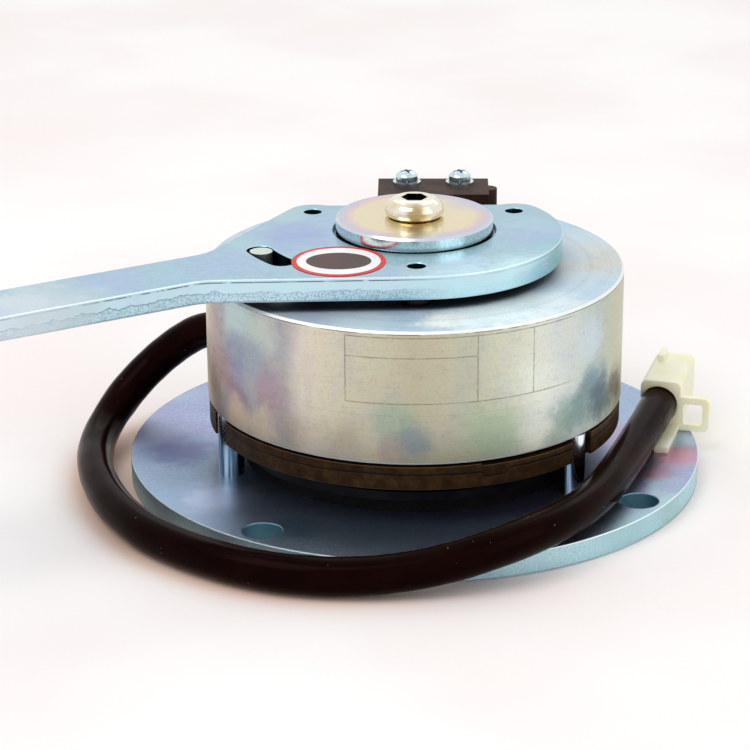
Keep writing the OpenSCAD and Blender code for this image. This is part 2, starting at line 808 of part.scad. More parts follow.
module switch_screws() {
    head_z = switch_top + washer_t + spring_washer_t;
    head_h = 0.7 * switch_screw_d;
    slot = [switch_screw_d * 1.1, 0.45, 0.8];
    color("#a9cbd6")
    for (i = [0:1])
        difference() {
            translate(switch_hole_at(i, 0)) {
                translate([0, 0, magnet_top - switch_screw_grip])
                    cylinder(d = switch_screw_d, h = head_z - magnet_top + switch_screw_grip + head_h / 4);
                translate([0, 0, head_z]) screw_cap(switch_screw_d, 0.6, switch_screw_d * 0.45, head_h);
            }
            for (a = [20, 110])
                translate(switch_hole_at(i, head_z + head_h - slot[2])) rotate([0, 0, a])
                    translate([-slot[0] / 2, -slot[1] / 2, 0]) cube([slot[0], slot[1], slot[2] + over]);
        }
}

// Rubber bush in the magnet's wall that the coil leads pass through
module cable_grommet() {
    inside = magnet_d / 2 - magnet_wall;
    color("#1f1b1c")
    difference() {
        union() {
            along_exit(inside) cylinder(d = grommet_d, h = magnet_wall + 0.6);
            intersection() {
                along_exit(inside + magnet_wall / 2)
                    cylinder(d = grommet_collar_d, h = magnet_wall / 2 + grommet_out);
                difference() {
                    translate([0, 0, magnet_z]) cylinder(r = magnet_d, h = magnet_h);
                    translate([0, 0, magnet_z - over])
                        cylinder(r = magnet_d / 2 + thread_gap, h = magnet_h + 2 * over, $fn = 180);
                }
            }
        }
        along_exit(inside - over)
            cylinder(d = 2 * lead_d + 4 * face_gap, h = magnet_wall + grommet_out + 2 * over);
    }
}

// Route of the cable: out of the grommet, down to the table, round the flange, up over its rim
cable_start = polar(magnet_d / 2 + grommet_out + 0.2, cable_exit_a, cable_exit_z);
cable_low = cable_d / 2 + 0.1;
cable_high = flange_t + cable_d / 2 + 0.05;
cable_points = concat([cable_start], [
    [-38, 16.1, 19.5], [-41, 16.9, 17.8], [-44.5, 17.1, 15.2], [-48, 16.4, 12.2],
    [-51.4, 14.2, 9], [-54, 10.6, 6.2], [-55.6, 5.8, cable_low + 0.9], [-56.1, -1, cable_low],
    [-55.1, -10.2, cable_low], [-52.8, -19.2, cable_low], [-49.2, -28.2, cable_low],
    [-43.4, -37.4, cable_low], [-35.2, -45.2, cable_low], [-26.4, -50.8, cable_low],
    [-18, -53.6, cable_low], [-10, -54.4, cable_low + 0.1], [-2.2, -54.2, cable_low + 0.7],
    [5.6, -53, cable_high - 2.1], [13.6, -50, cable_high - 0.7], [21.4, -43.9, cable_high],
    [27, -36.6, cable_high], [31.4, -28, cable_high], [35.4, -17, cable_high + 0.1],
    [39, -6.4, cable_high + 0.5], [42.1, 2.8, cable_high + 1.1], [43.7, 8.5, cable_high + 1.3]
]);
cable_sides = 10;
conn_a = 75;

module cable_sleeve() {
    color("#1b1416")
    tube_along(cable_points, cable_d / 2, cable_sides, polar(1, cable_exit_a), polar(1, conn_a));
}

// The connector lies on the flange's edge; its own X runs away from the cable
module at_connector() {
    end = cable_points[len(cable_points) - 1];
    translate([end[0], end[1], flange_t + face_gap]) rotate([0, 0, conn_a]) children();
}

conn_left = conn_w * 0.45;
contact_w = 2.3;
contact_h = 6.4;
// Closed length of the housing at the cable's end, and how far the contacts stay inside the other end
bay_floor = 3;
contact_set = 1.2;
rib_l = 4;

// Block along X with rounded long edges
module rounded_block(size, r) {
    w = size[1] - r;
    h = size[2] - r;
    rotate([90, 0, 90]) linear_extrude(size[0]) polygon(concat(
        arc([w, h], r, 0, 90, 4),
        arc([r, h], r, 90, 180, 4),
        arc([r, r], r, 180, 270, 4),
        arc([w, r], r, 270, 360, 4)
    ));
}

module connector_housing() {
    bay_l = conn_l - bay_floor;
    window_w = ear_reach - 1.5 * conn_wall;
    window_r = conn_wall * 0.4;
    bay = [bay_l + over, contact_w + 2 * face_gap, contact_h + 2 * face_gap];
    color("#e9e8d6")
    at_connector()
    difference() {
        union() {
            translate([-conn_socket_h, conn_left - conn_w, 0])
                rounded_block([conn_l + conn_socket_h, conn_w, conn_h], conn_round);
            // Latch ear, with its window
            translate([-conn_socket_h, conn_left - conn_w - ear_reach, 0])
                rounded_block([conn_wall, ear_reach + 2 * conn_round, ear_h], conn_round);
            // Guide arm along the cable
            translate([-conn_socket_h - arm_l, conn_left - conn_w + 0.1, 0])
                cube([arm_l + over, arm_w, conn_wall]);
            // Locking rib on top, at the far end
            translate([conn_l - rib_l - 1, conn_left - conn_wall - conn_round, conn_h - over])
                cube([rib_l, conn_wall, over + conn_wall]);
        }
        // Socket that the cable's end sits in
        translate([-conn_socket_h - over, 0, cable_points[len(cable_points) - 1][2] - flange_t - face_gap])
            rotate([0, 90, 0]) cylinder(d = cable_d + 4 * running_gap, h = conn_socket_h + over);
        // Window of the ear
        translate([-conn_socket_h - over, conn_left - conn_w - ear_reach + conn_wall, conn_wall])
            rounded_block([conn_wall + 2 * over, window_w, ear_h - 2 * conn_wall], window_r);
        // Two bays for the contacts, open at the far end
        for (s = [0, 1])
            translate([conn_l - bay_l, bay_y(s) - bay[1] / 2, (conn_h - bay[2]) / 2]) cube(bay);
    }
}

// Middle of each contact bay across the housing
function bay_y(s) = conn_left - conn_w / 2 + (s - 0.5) * (contact_w + conn_wall);

// Folded brass sockets in the bays
module connector_contacts() {
    contact_l = conn_l - bay_floor - contact_set - 0.3;
    fold = 0.4;
    color("#c9a24a")
    at_connector()
    for (s = [0, 1])
        translate([conn_l - contact_set - contact_l, bay_y(s) - contact_w / 2, (conn_h - contact_h) / 2])
        difference() {
            cube([contact_l, contact_w, contact_h]);
            translate([fold, fold, fold]) cube([contact_l, contact_w - 2 * fold, contact_h - 2 * fold]);
        }
}

mounting_flange();
for (i = [0:2]) spacer_post(i);
post_screws();
drive_hub();
friction_carrier();
lining(lining_z);  // lining_lower
lining(carrier_z + carrier_t);  // lining_upper
armature_plate();
magnet_body();
coil_bobbin();
coil_winding();
coil_leads();
for (i = [0:5]) torque_spring(i);
release_lever();
for (i = [0:2]) release_ball(i);
pull_disc();
pull_bolt();
stop_pin();
switch_case();
switch_cover();
switch_plunger();
switch_terminals();
switch_screws();
switch_spring_washers();
switch_washers();
cable_grommet();
cable_sleeve();
connector_housing();
connector_contacts();
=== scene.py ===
"""Looks of a spring-applied motor brake with a hand release, round its fixed frame."""

import json
import math

import bmesh
import bpy
from mathutils import Matrix, Vector

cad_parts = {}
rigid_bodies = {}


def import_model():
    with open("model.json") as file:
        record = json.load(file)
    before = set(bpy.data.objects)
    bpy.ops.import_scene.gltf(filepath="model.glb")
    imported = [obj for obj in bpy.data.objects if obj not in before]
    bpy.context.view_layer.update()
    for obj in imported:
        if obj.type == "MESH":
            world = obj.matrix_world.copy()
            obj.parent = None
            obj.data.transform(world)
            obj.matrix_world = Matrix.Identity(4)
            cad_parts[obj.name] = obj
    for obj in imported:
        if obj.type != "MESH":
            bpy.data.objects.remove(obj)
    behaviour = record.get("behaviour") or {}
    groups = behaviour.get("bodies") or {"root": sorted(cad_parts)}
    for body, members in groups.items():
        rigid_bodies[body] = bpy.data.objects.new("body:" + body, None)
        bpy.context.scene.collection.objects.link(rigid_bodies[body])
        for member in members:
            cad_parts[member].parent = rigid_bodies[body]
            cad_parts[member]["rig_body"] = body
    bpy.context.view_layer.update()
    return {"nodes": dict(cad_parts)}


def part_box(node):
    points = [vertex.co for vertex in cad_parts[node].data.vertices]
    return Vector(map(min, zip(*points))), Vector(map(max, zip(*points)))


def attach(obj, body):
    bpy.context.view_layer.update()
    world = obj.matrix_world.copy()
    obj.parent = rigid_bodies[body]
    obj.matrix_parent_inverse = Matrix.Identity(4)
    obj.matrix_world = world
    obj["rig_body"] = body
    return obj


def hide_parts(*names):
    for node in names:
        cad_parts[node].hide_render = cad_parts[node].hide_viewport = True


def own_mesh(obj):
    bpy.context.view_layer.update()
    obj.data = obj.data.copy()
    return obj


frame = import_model()

MM = 0.001


def mm(x, y, z):
    """A point given in millimetres."""
    return Vector((x, y, z)) * MM


def polar(r, a, z):
    """A point at radius r and direction a in degrees round the shaft axis, in millimetres."""
    return mm(r * math.cos(math.radians(a)), r * math.sin(math.radians(a)), z)


# Camera: the photograph's viewpoint, fitted to the round outlines of the brake
FOCAL_PX = 2743.93
IMAGE_PX = 750
SENSOR_MM = 36
CAMERA_AT = mm(0, -448.82, 185.39)
CAMERA_AIM = mm(-6.86, 0, 17.0)
CAMERA_ROLL = -0.00474


def make_camera():
    camera = bpy.data.objects.new("camera", bpy.data.cameras.new("camera"))
    camera.data.sensor_width = SENSOR_MM
    camera.data.lens = FOCAL_PX * SENSOR_MM / IMAGE_PX
    camera.data.clip_start = 0.01
    camera.data.clip_end = 20
    ahead = (CAMERA_AIM - CAMERA_AT).normalized()
    right = ahead.cross(Vector((0, 0, 1))).normalized()
    up = right.cross(ahead)
    c, s = math.cos(CAMERA_ROLL), math.sin(CAMERA_ROLL)
    axes = (c * right + s * up, c * up - s * right, -ahead)
    camera.matrix_world = Matrix.Translation(CAMERA_AT) @ Matrix(axes).transposed().to_4x4()
    bpy.context.scene.collection.objects.link(camera)
    bpy.context.scene.camera = camera


make_camera()


def heights(node):
    """Heights of a CAD node's underside and top in millimetres."""
    return [round(corner[2] / MM, 3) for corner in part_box(node)]


# Faces and openings that finishes follow: heights in millimetres, and the middle of each opening's wall
FLANGE_LOW, FLANGE_TOP = heights("mounting_flange")
MAGNET_LOW, MAGNET_TOP = heights("magnet_body")
LEVER_LOW, LEVER_TOP = heights("release_lever")
SLOT_AT = polar(28.5, 212, 42)
SEAT_AT = polar(0, 0, 43.4)
BALL_HOLES_AT = [polar(20.3, a, 42) for a in (31, 151, 271)]
MOUNT_HOLES_AT = [polar(45.3, a, 2) for a in (-33.8, -123.2, 101.5)]


# Colour and material helpers
def hex_rgb(text):
    """An sRGB hex colour as linear red, green, blue and alpha."""
    parts = [int(text[i:i + 2], 16) / 255 for i in (1, 3, 5)]
    return [c / 12.92 if c <= 0.04045 else ((c + 0.055) / 1.055) ** 2.4 for c in parts] + [1]


def per_mm(size):
    """Texture scale at which one cell of a pattern is this many millimetres wide."""
    return 1 / (size * MM)


def cells(place, size, detail=2.0, rough=0.5, distortion=0.0):
    """Inputs of a noise whose cells are this many millimetres wide."""
    return {"Vector": place, "Scale": per_mm(size), "Detail": detail, "Roughness": rough,
            "Distortion": distortion}


# Settings that many nodes share; a Mix node gives its colour as its third output
TIMES = {"operation": "MULTIPLY"}
PLUS = {"operation": "ADD"}
MINUS = {"operation": "SUBTRACT"}
SOFT = {"interpolation_type": "SMOOTHSTEP"}
RGB = {"data_type": "RGBA", "out": 2}
DARKER = {"blend_type": "MULTIPLY", **RGB}
METAL = {"Metallic": 1.0}


def add(tree, kind, inputs=(), out=0, stops=(), **settings):
    """Adds a shader node and gives one of its outputs.

    Inputs come as a list from the first socket on, or pair a socket's name or number with its value.
    Another node's output is linked and any other value is set. Stops are a ramp's places and colours.
    """
    node = tree.nodes.new("ShaderNode" + kind)
    for key, value in settings.items():
        setattr(node, key, value)
    for i, (place, colour) in enumerate(stops):
        ramp = node.color_ramp.elements
        element = ramp[i] if i < 2 else ramp.new(place)
        element.position = place
        element.color = hex_rgb(colour)
    pairs = inputs if isinstance(inputs, dict) else dict(enumerate(inputs))
    for key, value in pairs.items():
        if isinstance(value, bpy.types.NodeSocket):
            tree.links.new(value, node.inputs[key])
        else:
            node.inputs[key].default_value = value
    return node.outputs[out] if len(node.outputs) else None


def new_material(name):
    """An empty node material, its tree and its Object coordinates."""
    material = bpy.data.materials.new(name)
    material.use_nodes = True
    material.node_tree.nodes.clear()
    return material, material.node_tree, add(material.node_tree, "TexCoord", out="Object")


def skin(tree, colour, roughness, relief, depth_mm, values=()):
    """Ends a material: its surface shader, with relief of this depth in mm and other inputs by name."""
    normal = add(tree, "Bump", {"Height": relief, "Distance": depth_mm * MM, "Strength": 1.0})
    surface = {"Base Color": colour, "Roughness": roughness, "Normal": normal, **dict(values)}
    add(tree, "OutputMaterial", {"Surface": add(tree, "BsdfPrincipled", surface)})


def lay(tree, colour, *coats):
    """Lays coats over a base, each with its share of the surface, its strength and its colour."""
    for share, strength, coat in coats:
        if strength != 1:
            share = add(tree, "Math", [share, strength], **TIMES)
        coat = hex_rgb(coat) if isinstance(coat, str) else coat
        colour = add(tree, "Mix", {0: share, 6: colour, 7: coat}, **RGB)
    return colour


def cloudy(tree, cloud, one, other, low=0.35, high=0.75):
    """Two colours that drift into each other with a noise."""
    share = add(tree, "MapRange", [cloud, low, high], **SOFT)
    return add(tree, "Mix", {0: share, 6: hex_rgb(one), 7: hex_rgb(other)}, **RGB)


def tint_patches(tree, place, colour, patches):
    """Lays soft patches of colour, film colour and in some finishes painted light and reflections: each has
    a centre and a radius in mm, a colour and a strength.
    """
    wander = add(tree, "Math", [add(tree, "TexNoise", cells(place, 7, 6, 0.66)), 0.5], **MINUS)
    for centre, radius, tint, strength in patches:
        gap = add(tree, "VectorMath", [place, mm(*centre)], "Value", operation="DISTANCE")
        ragged = add(tree, "Math", [gap, add(tree, "Math", [wander, radius * 2 * MM], **TIMES)], **PLUS)
        reach = [ragged, radius * MM * 0.25, radius * MM * 1.15, strength, 0.0]
        colour = lay(tree, colour, (add(tree, "MapRange", reach, **SOFT), 1, tint))
    return colour


def facing_up(tree):
    """How far a face looks up or down: the height of its normal, without its sign."""
    normal = add(tree, "TexCoord", out="Normal")
    return add(tree, "Math", [add(tree, "SeparateXYZ", [normal], 2), 0.0], operation="ABSOLUTE")


def on_levels(tree):
    """1 on faces that look up or down, 0 on upright walls."""
    return add(tree, "MapRange", [facing_up(tree), 0.35, 0.65], **SOFT)


def on_walls(tree):
    """1 on upright walls, 0 on faces that look up or down."""
    return add(tree, "Math", [1.0, on_levels(tree)], **MINUS)


def on_broken_edges(tree):
    """1 on broken edges, between the upright and the level faces."""
    return within(tree, facing_up(tree), (0.12, 0.35), (0.85, 0.98))


def line_at(tree, value, centre, half, soft):
    """1 where a value lies within half of a centre, with a soft edge; all in metres or degrees alike."""
    gap = add(tree, "Math", [add(tree, "Math", [value, centre], **MINUS), 0.0], operation="ABSOLUTE")
    return add(tree, "MapRange", [gap, half, half + soft, 1.0, 0.0], **SOFT)


def within(tree, value, low, high):
    """1 between two soft edges, each given as the two values that it runs between."""
    above = add(tree, "MapRange", [value, *low], **SOFT)
    below = add(tree, "MapRange", [value, *high, 1.0, 0.0], **SOFT)
    return add(tree, "Math", [above, below], **TIMES)


def angle_of(tree, place):
    """Direction round the shaft axis in degrees, from -180 to 180."""
    x, y, _ = add(tree, "SeparateXYZ", [place]).node.outputs
    return add(tree, "Math", [add(tree, "Math", [y, x], operation="ARCTAN2"), 180 / math.pi], **TIMES)


def off_axis(tree, place):
    """Distance from the shaft axis in metres."""
    flat = add(tree, "Mapping", {"Vector": place, "Scale": (1, 1, 0)})
    return add(tree, "VectorMath", [flat], "Value", operation="LENGTH")


def turning_marks(tree, place, size):
    """Noise that runs round the shaft axis, as a turning tool's marks do."""
    rings = add(tree, "CombineXYZ", {0: off_axis(tree, place), 2: add(tree, "SeparateXYZ", [place], 2)})
    return add(tree, "TexNoise", cells(rings, size, 3, 0.6))


def paint(node, material, *more):
    """Gives CAD nodes a finish in place."""
    for name in (node, *more):
        mesh = frame["nodes"][name].data
        mesh.materials.clear()
        mesh.materials.append(material)


# Free cable: leaves the magnet level, drops to the table, lies round the flange and climbs over its rim
CABLE_MM = [
    (-35, 14.8, 20.2), (-38, 16.1, 19.5), (-41, 16.9, 17.8), (-44.5, 17.1, 15.2), (-48, 16.4, 12.2),
    (-51.4, 14.2, 9), (-54, 10.6, 6.2), (-55.6, 5.8, 4.25), (-56.1, -1, 3.35), (-55.1, -10.2, 3.35),
    (-52.8, -19.2, 3.35), (-49.2, -28.2, 3.35), (-43.4, -37.4, 3.35), (-35.2, -45.2, 3.35),
    (-26.4, -50.8, 3.35), (-18, -53.6, 3.35), (-10, -54.4, 3.45), (-2.2, -54.2, 4.05), (5.6, -53, 5.2),
    (13.6, -50, 6.6), (21.4, -43.9, 7.3), (27, -36.6, 7.3), (31.4, -28, 7.3), (35.4, -17, 7.4),
    (39, -6.4, 7.8), (42.1, 2.8, 8.4), (43.7, 8.5, 8.6),
]
CABLE_D = 6.5
SLEEVE_RING_SIDES = 32
# Level directions, in degrees, in which it leaves the magnet and enters the plug
CABLE_EXIT_A = 157
PLUG_A = 75

# Round sticker on the lever's top: place, radius, thickness, broken edge, inner radius of the red rim, oval
STICKER_AT = (-12.5, -18.1, LEVER_TOP)
STICKER_R = 7.85
STICKER_T = 0.1
STICKER_EDGE = 0.03
STICKER_RIM_R = 6.9
STICKER_OVAL = (5.4, 4.4)


def level(a):
    """The level direction at an angle in degrees."""
    return Vector((math.cos(math.radians(a)), math.sin(math.radians(a)), 0))


def route_line(points, steps=6):
    """A smooth line through the points, tangent to the two end directions."""
    ends = [points[0] - level(CABLE_EXIT_A) * 3 * MM, points[-1] + level(PLUG_A) * 6 * MM]
    chain = [ends[0], *points, ends[1]]
    line = []
    for i in range(1, len(chain) - 2):
        p0, p1, p2, p3 = chain[i - 1:i + 3]
        for k in range(steps):
            t = k / steps
            line.append(0.5 * (2 * p1 + (p2 - p0) * t + (2 * p0 - 5 * p1 + 4 * p2 - p3) * t * t
                               + (3 * p1 - p0 - 3 * p2 + p3) * t ** 3))
    return line + [points[-1]]


def pull_in(angle, along):
    """Share by which the soft sleeve sinks between its two wires, at an angle round it."""
    turn = 0.35 * math.sin(along * 3.1) + 0.2 * math.sin(along * 7.3)
    valley = max(0.0, math.cos(2 * (angle + turn))) ** 6
    flat = 0.5 - 0.5 * math.cos(2 * (angle + turn))
    return 0.045 * valley + 0.02 * flat + 0.006 * math.sin(along * 29) * math.sin(angle)


def make_cable():
    line = route_line([mm(*p) for p in CABLE_MM])
    curve = bpy.data.curves.new("cable_sleeve_soft", "CURVE")
    curve.dimensions = "3D"
    curve.bevel_depth = CABLE_D / 2 * MM
    curve.bevel_resolution = SLEEVE_RING_SIDES // 4 - 2
    curve.use_fill_caps = True
    spline = curve.splines.new("POLY")
    spline.points.add(len(line) - 1)
    for point, at in zip(spline.points, line):
        point.co = (*at, 1)
    carrier = bpy.data.objects.new("cable_carrier", curve)
    bpy.context.scene.collection.objects.link(carrier)
    bpy.context.view_layer.update()
    finished = carrier.evaluated_get(bpy.context.evaluated_depsgraph_get())
    mesh = bpy.data.meshes.new_from_object(finished)
    bpy.data.objects.remove(carrier)
    # Each vertex sinks towards the centreline point that it stands nearest
    for v in mesh.vertices:
        nearest = min(range(len(line)), key=lambda i: (v.co - line[i]).length_squared)
        out = v.co - line[nearest]
        along = line[min(nearest + 1, len(line) - 1)] - line[max(nearest - 1, 0)]
        side = along.cross(Vector((0, 0, 1))).normalized()
        top = side.cross(along).normalized()
        angle = math.atan2(out.dot(top), out.dot(side))
        v.co -= out * pull_in(angle, nearest / len(line) * 2 * math.pi)
    for face in mesh.polygons:
        face.use_smooth = True
    mesh.set_sharp_from_angle(angle=math.radians(50))
    cable = bpy.data.objects.new("cable_sleeve_soft", mesh)
    bpy.context.scene.collection.objects.link(cable)
    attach(cable, "brake_body")
    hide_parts("cable_sleeve")
    return cable, line


def link(name, mesh, body):
    """A finished mesh as a piece at the origin that rides on a body."""
    piece = bpy.data.objects.new(name, mesh)
    bpy.context.scene.collection.objects.link(piece)
    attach(piece, body)
    return piece


# Where a dressed copy welds its CAD node's triangles, drops their flat seams, and breaks an edge
WELD_MM = 0.0005
FLAT_DEG = 0.4
EDGE_DEG = 30


def dressed(node, name, material, break_mm, smooth_deg=14, segments=2):
    """A CAD node's own form with its sharp edges broken, standing for the node."""
    source = frame["nodes"][node]
    bm = bmesh.new()
    bm.from_mesh(source.data)
    bmesh.ops.remove_doubles(bm, verts=bm.verts, dist=WELD_MM * MM)
    bmesh.ops.dissolve_limit(bm, angle_limit=math.radians(FLAT_DEG), verts=bm.verts, edges=bm.edges)
    if break_mm:
        sharp = [e for e in bm.edges if len(e.link_faces) == 2
                 and e.calc_face_angle(0) > math.radians(EDGE_DEG)]
        bmesh.ops.bevel(bm, geom=sharp, offset=break_mm * MM, offset_type="OFFSET", segments=segments,
                        profile=0.5, affect="EDGES", clamp_overlap=True, material=-1)
    mesh = bpy.data.meshes.new(name)
    bm.to_mesh(mesh)
    bm.free()
    for face in mesh.polygons:
        face.use_smooth = True
    mesh.set_sharp_from_angle(angle=math.radians(smooth_deg))
    mesh.materials.append(material)
    piece = link(name, mesh, source["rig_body"])
    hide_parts(node)
    return piece


# Finishes
def zinc_plate(name, films, film_mm, patches, shear, openings, rough, grain_mm, grain_depth, sparkle):
    """Bright zinc plate, passivated: a metal whose thin film shows soft interference colours.

    Each opening has the middle of its wall, its reach from there in millimetres and its shade.
    """
    material, tree, place = new_material(name)
    film = add(tree, "TexNoise", cells(place, film_mm, 3, 0.55, 0.6))
    colour = add(tree, "ValToRGB", [film], stops=films)
    mottle = add(tree, "TexNoise", cells(place, 1.6, 4, 0.65))
    mottle = add(tree, "MapRange", [mottle, 0.35, 0.75, 0.0, 0.14], **SOFT)
    colour = add(tree, "Mix", {0: mottle, 6: colour, 7: hex_rgb("#93a9bd")}, **DARKER)
    grain = add(tree, "TexNoise", cells(place, grain_mm, 3, 0.6))
    # The grain's bright flecks are painted glints
    painted_glints = add(tree, "MapRange", [grain, 0.52, 0.68, 0.0, sparkle], **SOFT)
    colour = lay(tree, colour, (painted_glints, 1, "#eef4f8"))
    roughness = add(tree, "MapRange", [grain, 0.25, 0.75, rough - 0.05, rough + 0.07], **SOFT)
    waves = add(tree, "Math", [add(tree, "TexNoise", cells(place, 5, 2)), 3.0], **TIMES)
    relief = add(tree, "Math", [grain, waves], **PLUS)
    colour, roughness, relief = sheared_wall(tree, place, colour, roughness, relief, *shear)
    colour = tint_patches(tree, place, colour, patches)
    # Painted highlight on the broken outer edges, and painted shade on the walls of the openings, where
    # little light and polish reach
    edge_highlight = add(tree, "Math", [on_broken_edges(tree), 0.8], **TIMES)
    for centre, reach, shade in openings:
        gap = add(tree, "VectorMath", [place, centre], "Value", operation="DISTANCE")
        inside = add(tree, "MapRange", [gap, reach * MM, (reach + 0.3) * MM, 1.0, 0.0], **SOFT)
        edge_highlight = add(tree, "Math", [edge_highlight, add(tree, "Math", [1.0, inside], **MINUS)], **TIMES)
        inside = add(tree, "Math", [inside, on_walls(tree)], **TIMES)
        colour = lay(tree, colour, (inside, 0.9, shade))
    colour = lay(tree, colour, (edge_highlight, 1, "#f4fbfd"))
    skin(tree, colour, roughness, relief, grain_depth, METAL)
    return material


def sheared_wall(tree, place, colour, roughness, relief, low, high, torn_share, tones, crease_shade_strength):
    """Wall of a sheared plate: cut smooth in its upper part, then torn off along a ragged border.

    Tones are the smooth part's colour and the torn part's light and dark ones.
    """
    smooth, torn_light, torn_dark = tones
    wall = on_walls(tree)
    x, _, z = add(tree, "SeparateXYZ", [place]).node.outputs
    upright = add(tree, "Mapping", {"Vector": place, "Scale": (1, 1, 0.15)})
    wander = add(tree, "Math", [add(tree, "TexNoise", cells(upright, 3.2, 6, 0.6)), 0.5], **MINUS)
    border = add(tree, "Math", [z, (low + (high - low) * torn_share) * MM], **MINUS)
    border = add(tree, "Math", [border, add(tree, "Math", [wander, 2.6 * MM], **TIMES)], **PLUS)
    torn = add(tree, "MapRange", [border, -0.08 * MM, 0.08 * MM, 1.0, 0.0], **SOFT)
    torn = add(tree, "Math", [wall, torn], **TIMES)
    squat = add(tree, "Mapping", {"Vector": place, "Scale": (1, 1, 0.8)})
    pits = add(tree, "TexNoise", cells(squat, 0.28, 3, 0.75))
    torn_colour = add(tree, "ValToRGB", [pits], stops=[(0.4, torn_dark), (0.53, torn_light)])
    # The border casts a fine painted shadow, deepest along the handle, and a painted shade line runs along
    # the lower edge
    depth = add(tree, "MapRange", [x, -45 * MM, -22 * MM, 0.75, 0.2], **SOFT)
    shadow = line_at(tree, border, 0.0, 0.04 * MM, 0.12 * MM)
    shadow = add(tree, "Math", [add(tree, "Math", [wall, depth], **TIMES), shadow], **TIMES)
    painted_foot_line = add(tree, "MapRange", [z, (low + 0.3) * MM, (low + 0.42) * MM, 0.5, 0.0], **SOFT)
    painted_foot_line = add(tree, "Math", [wall, painted_foot_line], **TIMES)
    shadow = add(tree, "Math", [shadow, painted_foot_line], operation="MAXIMUM")
    # Painted shade line in the crease below the rounded upper edge, broken here and there
    breaks = add(tree, "TexNoise", cells(upright, 3.5, 3, 0.6))
    breaks = add(tree, "MapRange", [breaks, 0.36, 0.5], **SOFT)
    crease_shade = line_at(tree, z, (high - 0.5) * MM, 0.05 * MM, 0.09 * MM)
    crease_shade = add(tree, "Math", [add(tree, "Math", [wall, breaks], **TIMES), crease_shade], **TIMES)
    colour = lay(tree, colour, (wall, 0.85, smooth), (torn, 1, torn_colour), (shadow, 1, "#64788c"),
                 (crease_shade, crease_shade_strength, "#2f3d48"))
    roughness = add(tree, "Math", [roughness, add(tree, "Math", [torn, 0.12], **TIMES)], **PLUS)
    pitted = add(tree, "Math", [add(tree, "Math", [pits, torn], **TIMES), 7.0], **TIMES)
    return colour, roughness, add(tree, "Math", [relief, pitted], **PLUS)


def lever_zinc():
    # Blue bright zinc on a sheared steel plate: pale blue with lilac and green film, a torn lower edge
    films = [(0.3, "#94b8c6"), (0.46, "#9abccd"), (0.58, "#9bb8d2"), (0.72, "#9dc2c9")]
    top = LEVER_TOP
    patches = [((-21, -4, top), 8, "#90a4d0", 0.8), ((-29, -9, top), 6, "#9cc8cc", 0.7),
               ((-23, 8, top), 5, "#a6c6cb", 0.7), ((-48, -28, top), 8, "#9db4d4", 0.6),
               ((-60, -36, top), 12, "#b2c9cc", 0.7), ((-64, -44, 41), 14, "#d8dce4", 0.5),
               ((7, -20, top), 8, "#b1cfe1", 0.8), ((4, -27, 41), 8, "#bfe4f0", 0.5),
               ((13, -24, 41), 8, "#c8ecf6", 0.6), ((18, -19, 42), 7, "#cdf3fa", 0.6),
               ((25, -9, 42), 6, "#86bfca", 0.7), ((22, -14, 41), 5, "#a5d2dc", 0.5),
               ((20, 3, top), 6, "#a2c8d8", 0.5)]
    # Painted shade for the walls of the slot, the disc's seat and the ball holes
    holes = [(SLOT_AT, 6.5, "#1f2c38"), (SEAT_AT, 14.2, "#3a3222")]
    holes += [(at, 3.4, "#4f8794") for at in BALL_HOLES_AT]
    shear = (LEVER_LOW, LEVER_TOP, 0.45, ("#c6e4ee", "#c2dfe9", "#90b0c2"), 0.85)
    return zinc_plate("blue_zinc_sheared_plate", films, 30, patches, shear, holes, rough=0.2,
                      grain_mm=0.35, grain_depth=0.006, sparkle=0.1)


def flange_zinc():
    # The same plate on the flange: violet and blue film at the left, pink at the right, a teal edge
    films = [(0.3, "#8a9fb8"), (0.45, "#90a6bf"), (0.58, "#9499bd"), (0.72, "#9abac6")]
    patches = [((-41, -4), 8, "#7074a8", 0.8), ((-49, 4), 6, "#a6aed0", 0.7),
               ((-40, -24), 8, "#93adc6", 0.7), ((-33, -24), 7, "#bcc8e4", 0.75),
               ((-30, -36), 8, "#8798b6", 0.6), ((-20, -38), 6, "#5f86a0", 0.6),
               ((38, 4), 7, "#a88ea8", 0.7), ((51, 5), 6, "#a2b0cc", 0.7),
               ((46, -6), 6, "#bc8494", 0.85), ((41, -13), 5, "#a67f92", 0.85),
               ((44, -27), 7, "#a6c8c8", 0.7), ((35, -35), 9, "#a8ccd2", 0.7)]
    patches = [((*at, FLANGE_TOP), *film) for at, *film in patches]
    # Painted shade for the walls of the mounting holes
    holes = [(at, 3.85, "#5c90a6") for at in MOUNT_HOLES_AT]
    shear = (FLANGE_LOW, FLANGE_TOP, 1.3, ("#c2e2e8", "#bcdee6", "#a6ccd6"), 0.0)
    return zinc_plate("blue_zinc_flange_plate", films, 26, patches, shear, holes, rough=0.36,
                      grain_mm=0.5, grain_depth=0.012, sparkle=0.24)


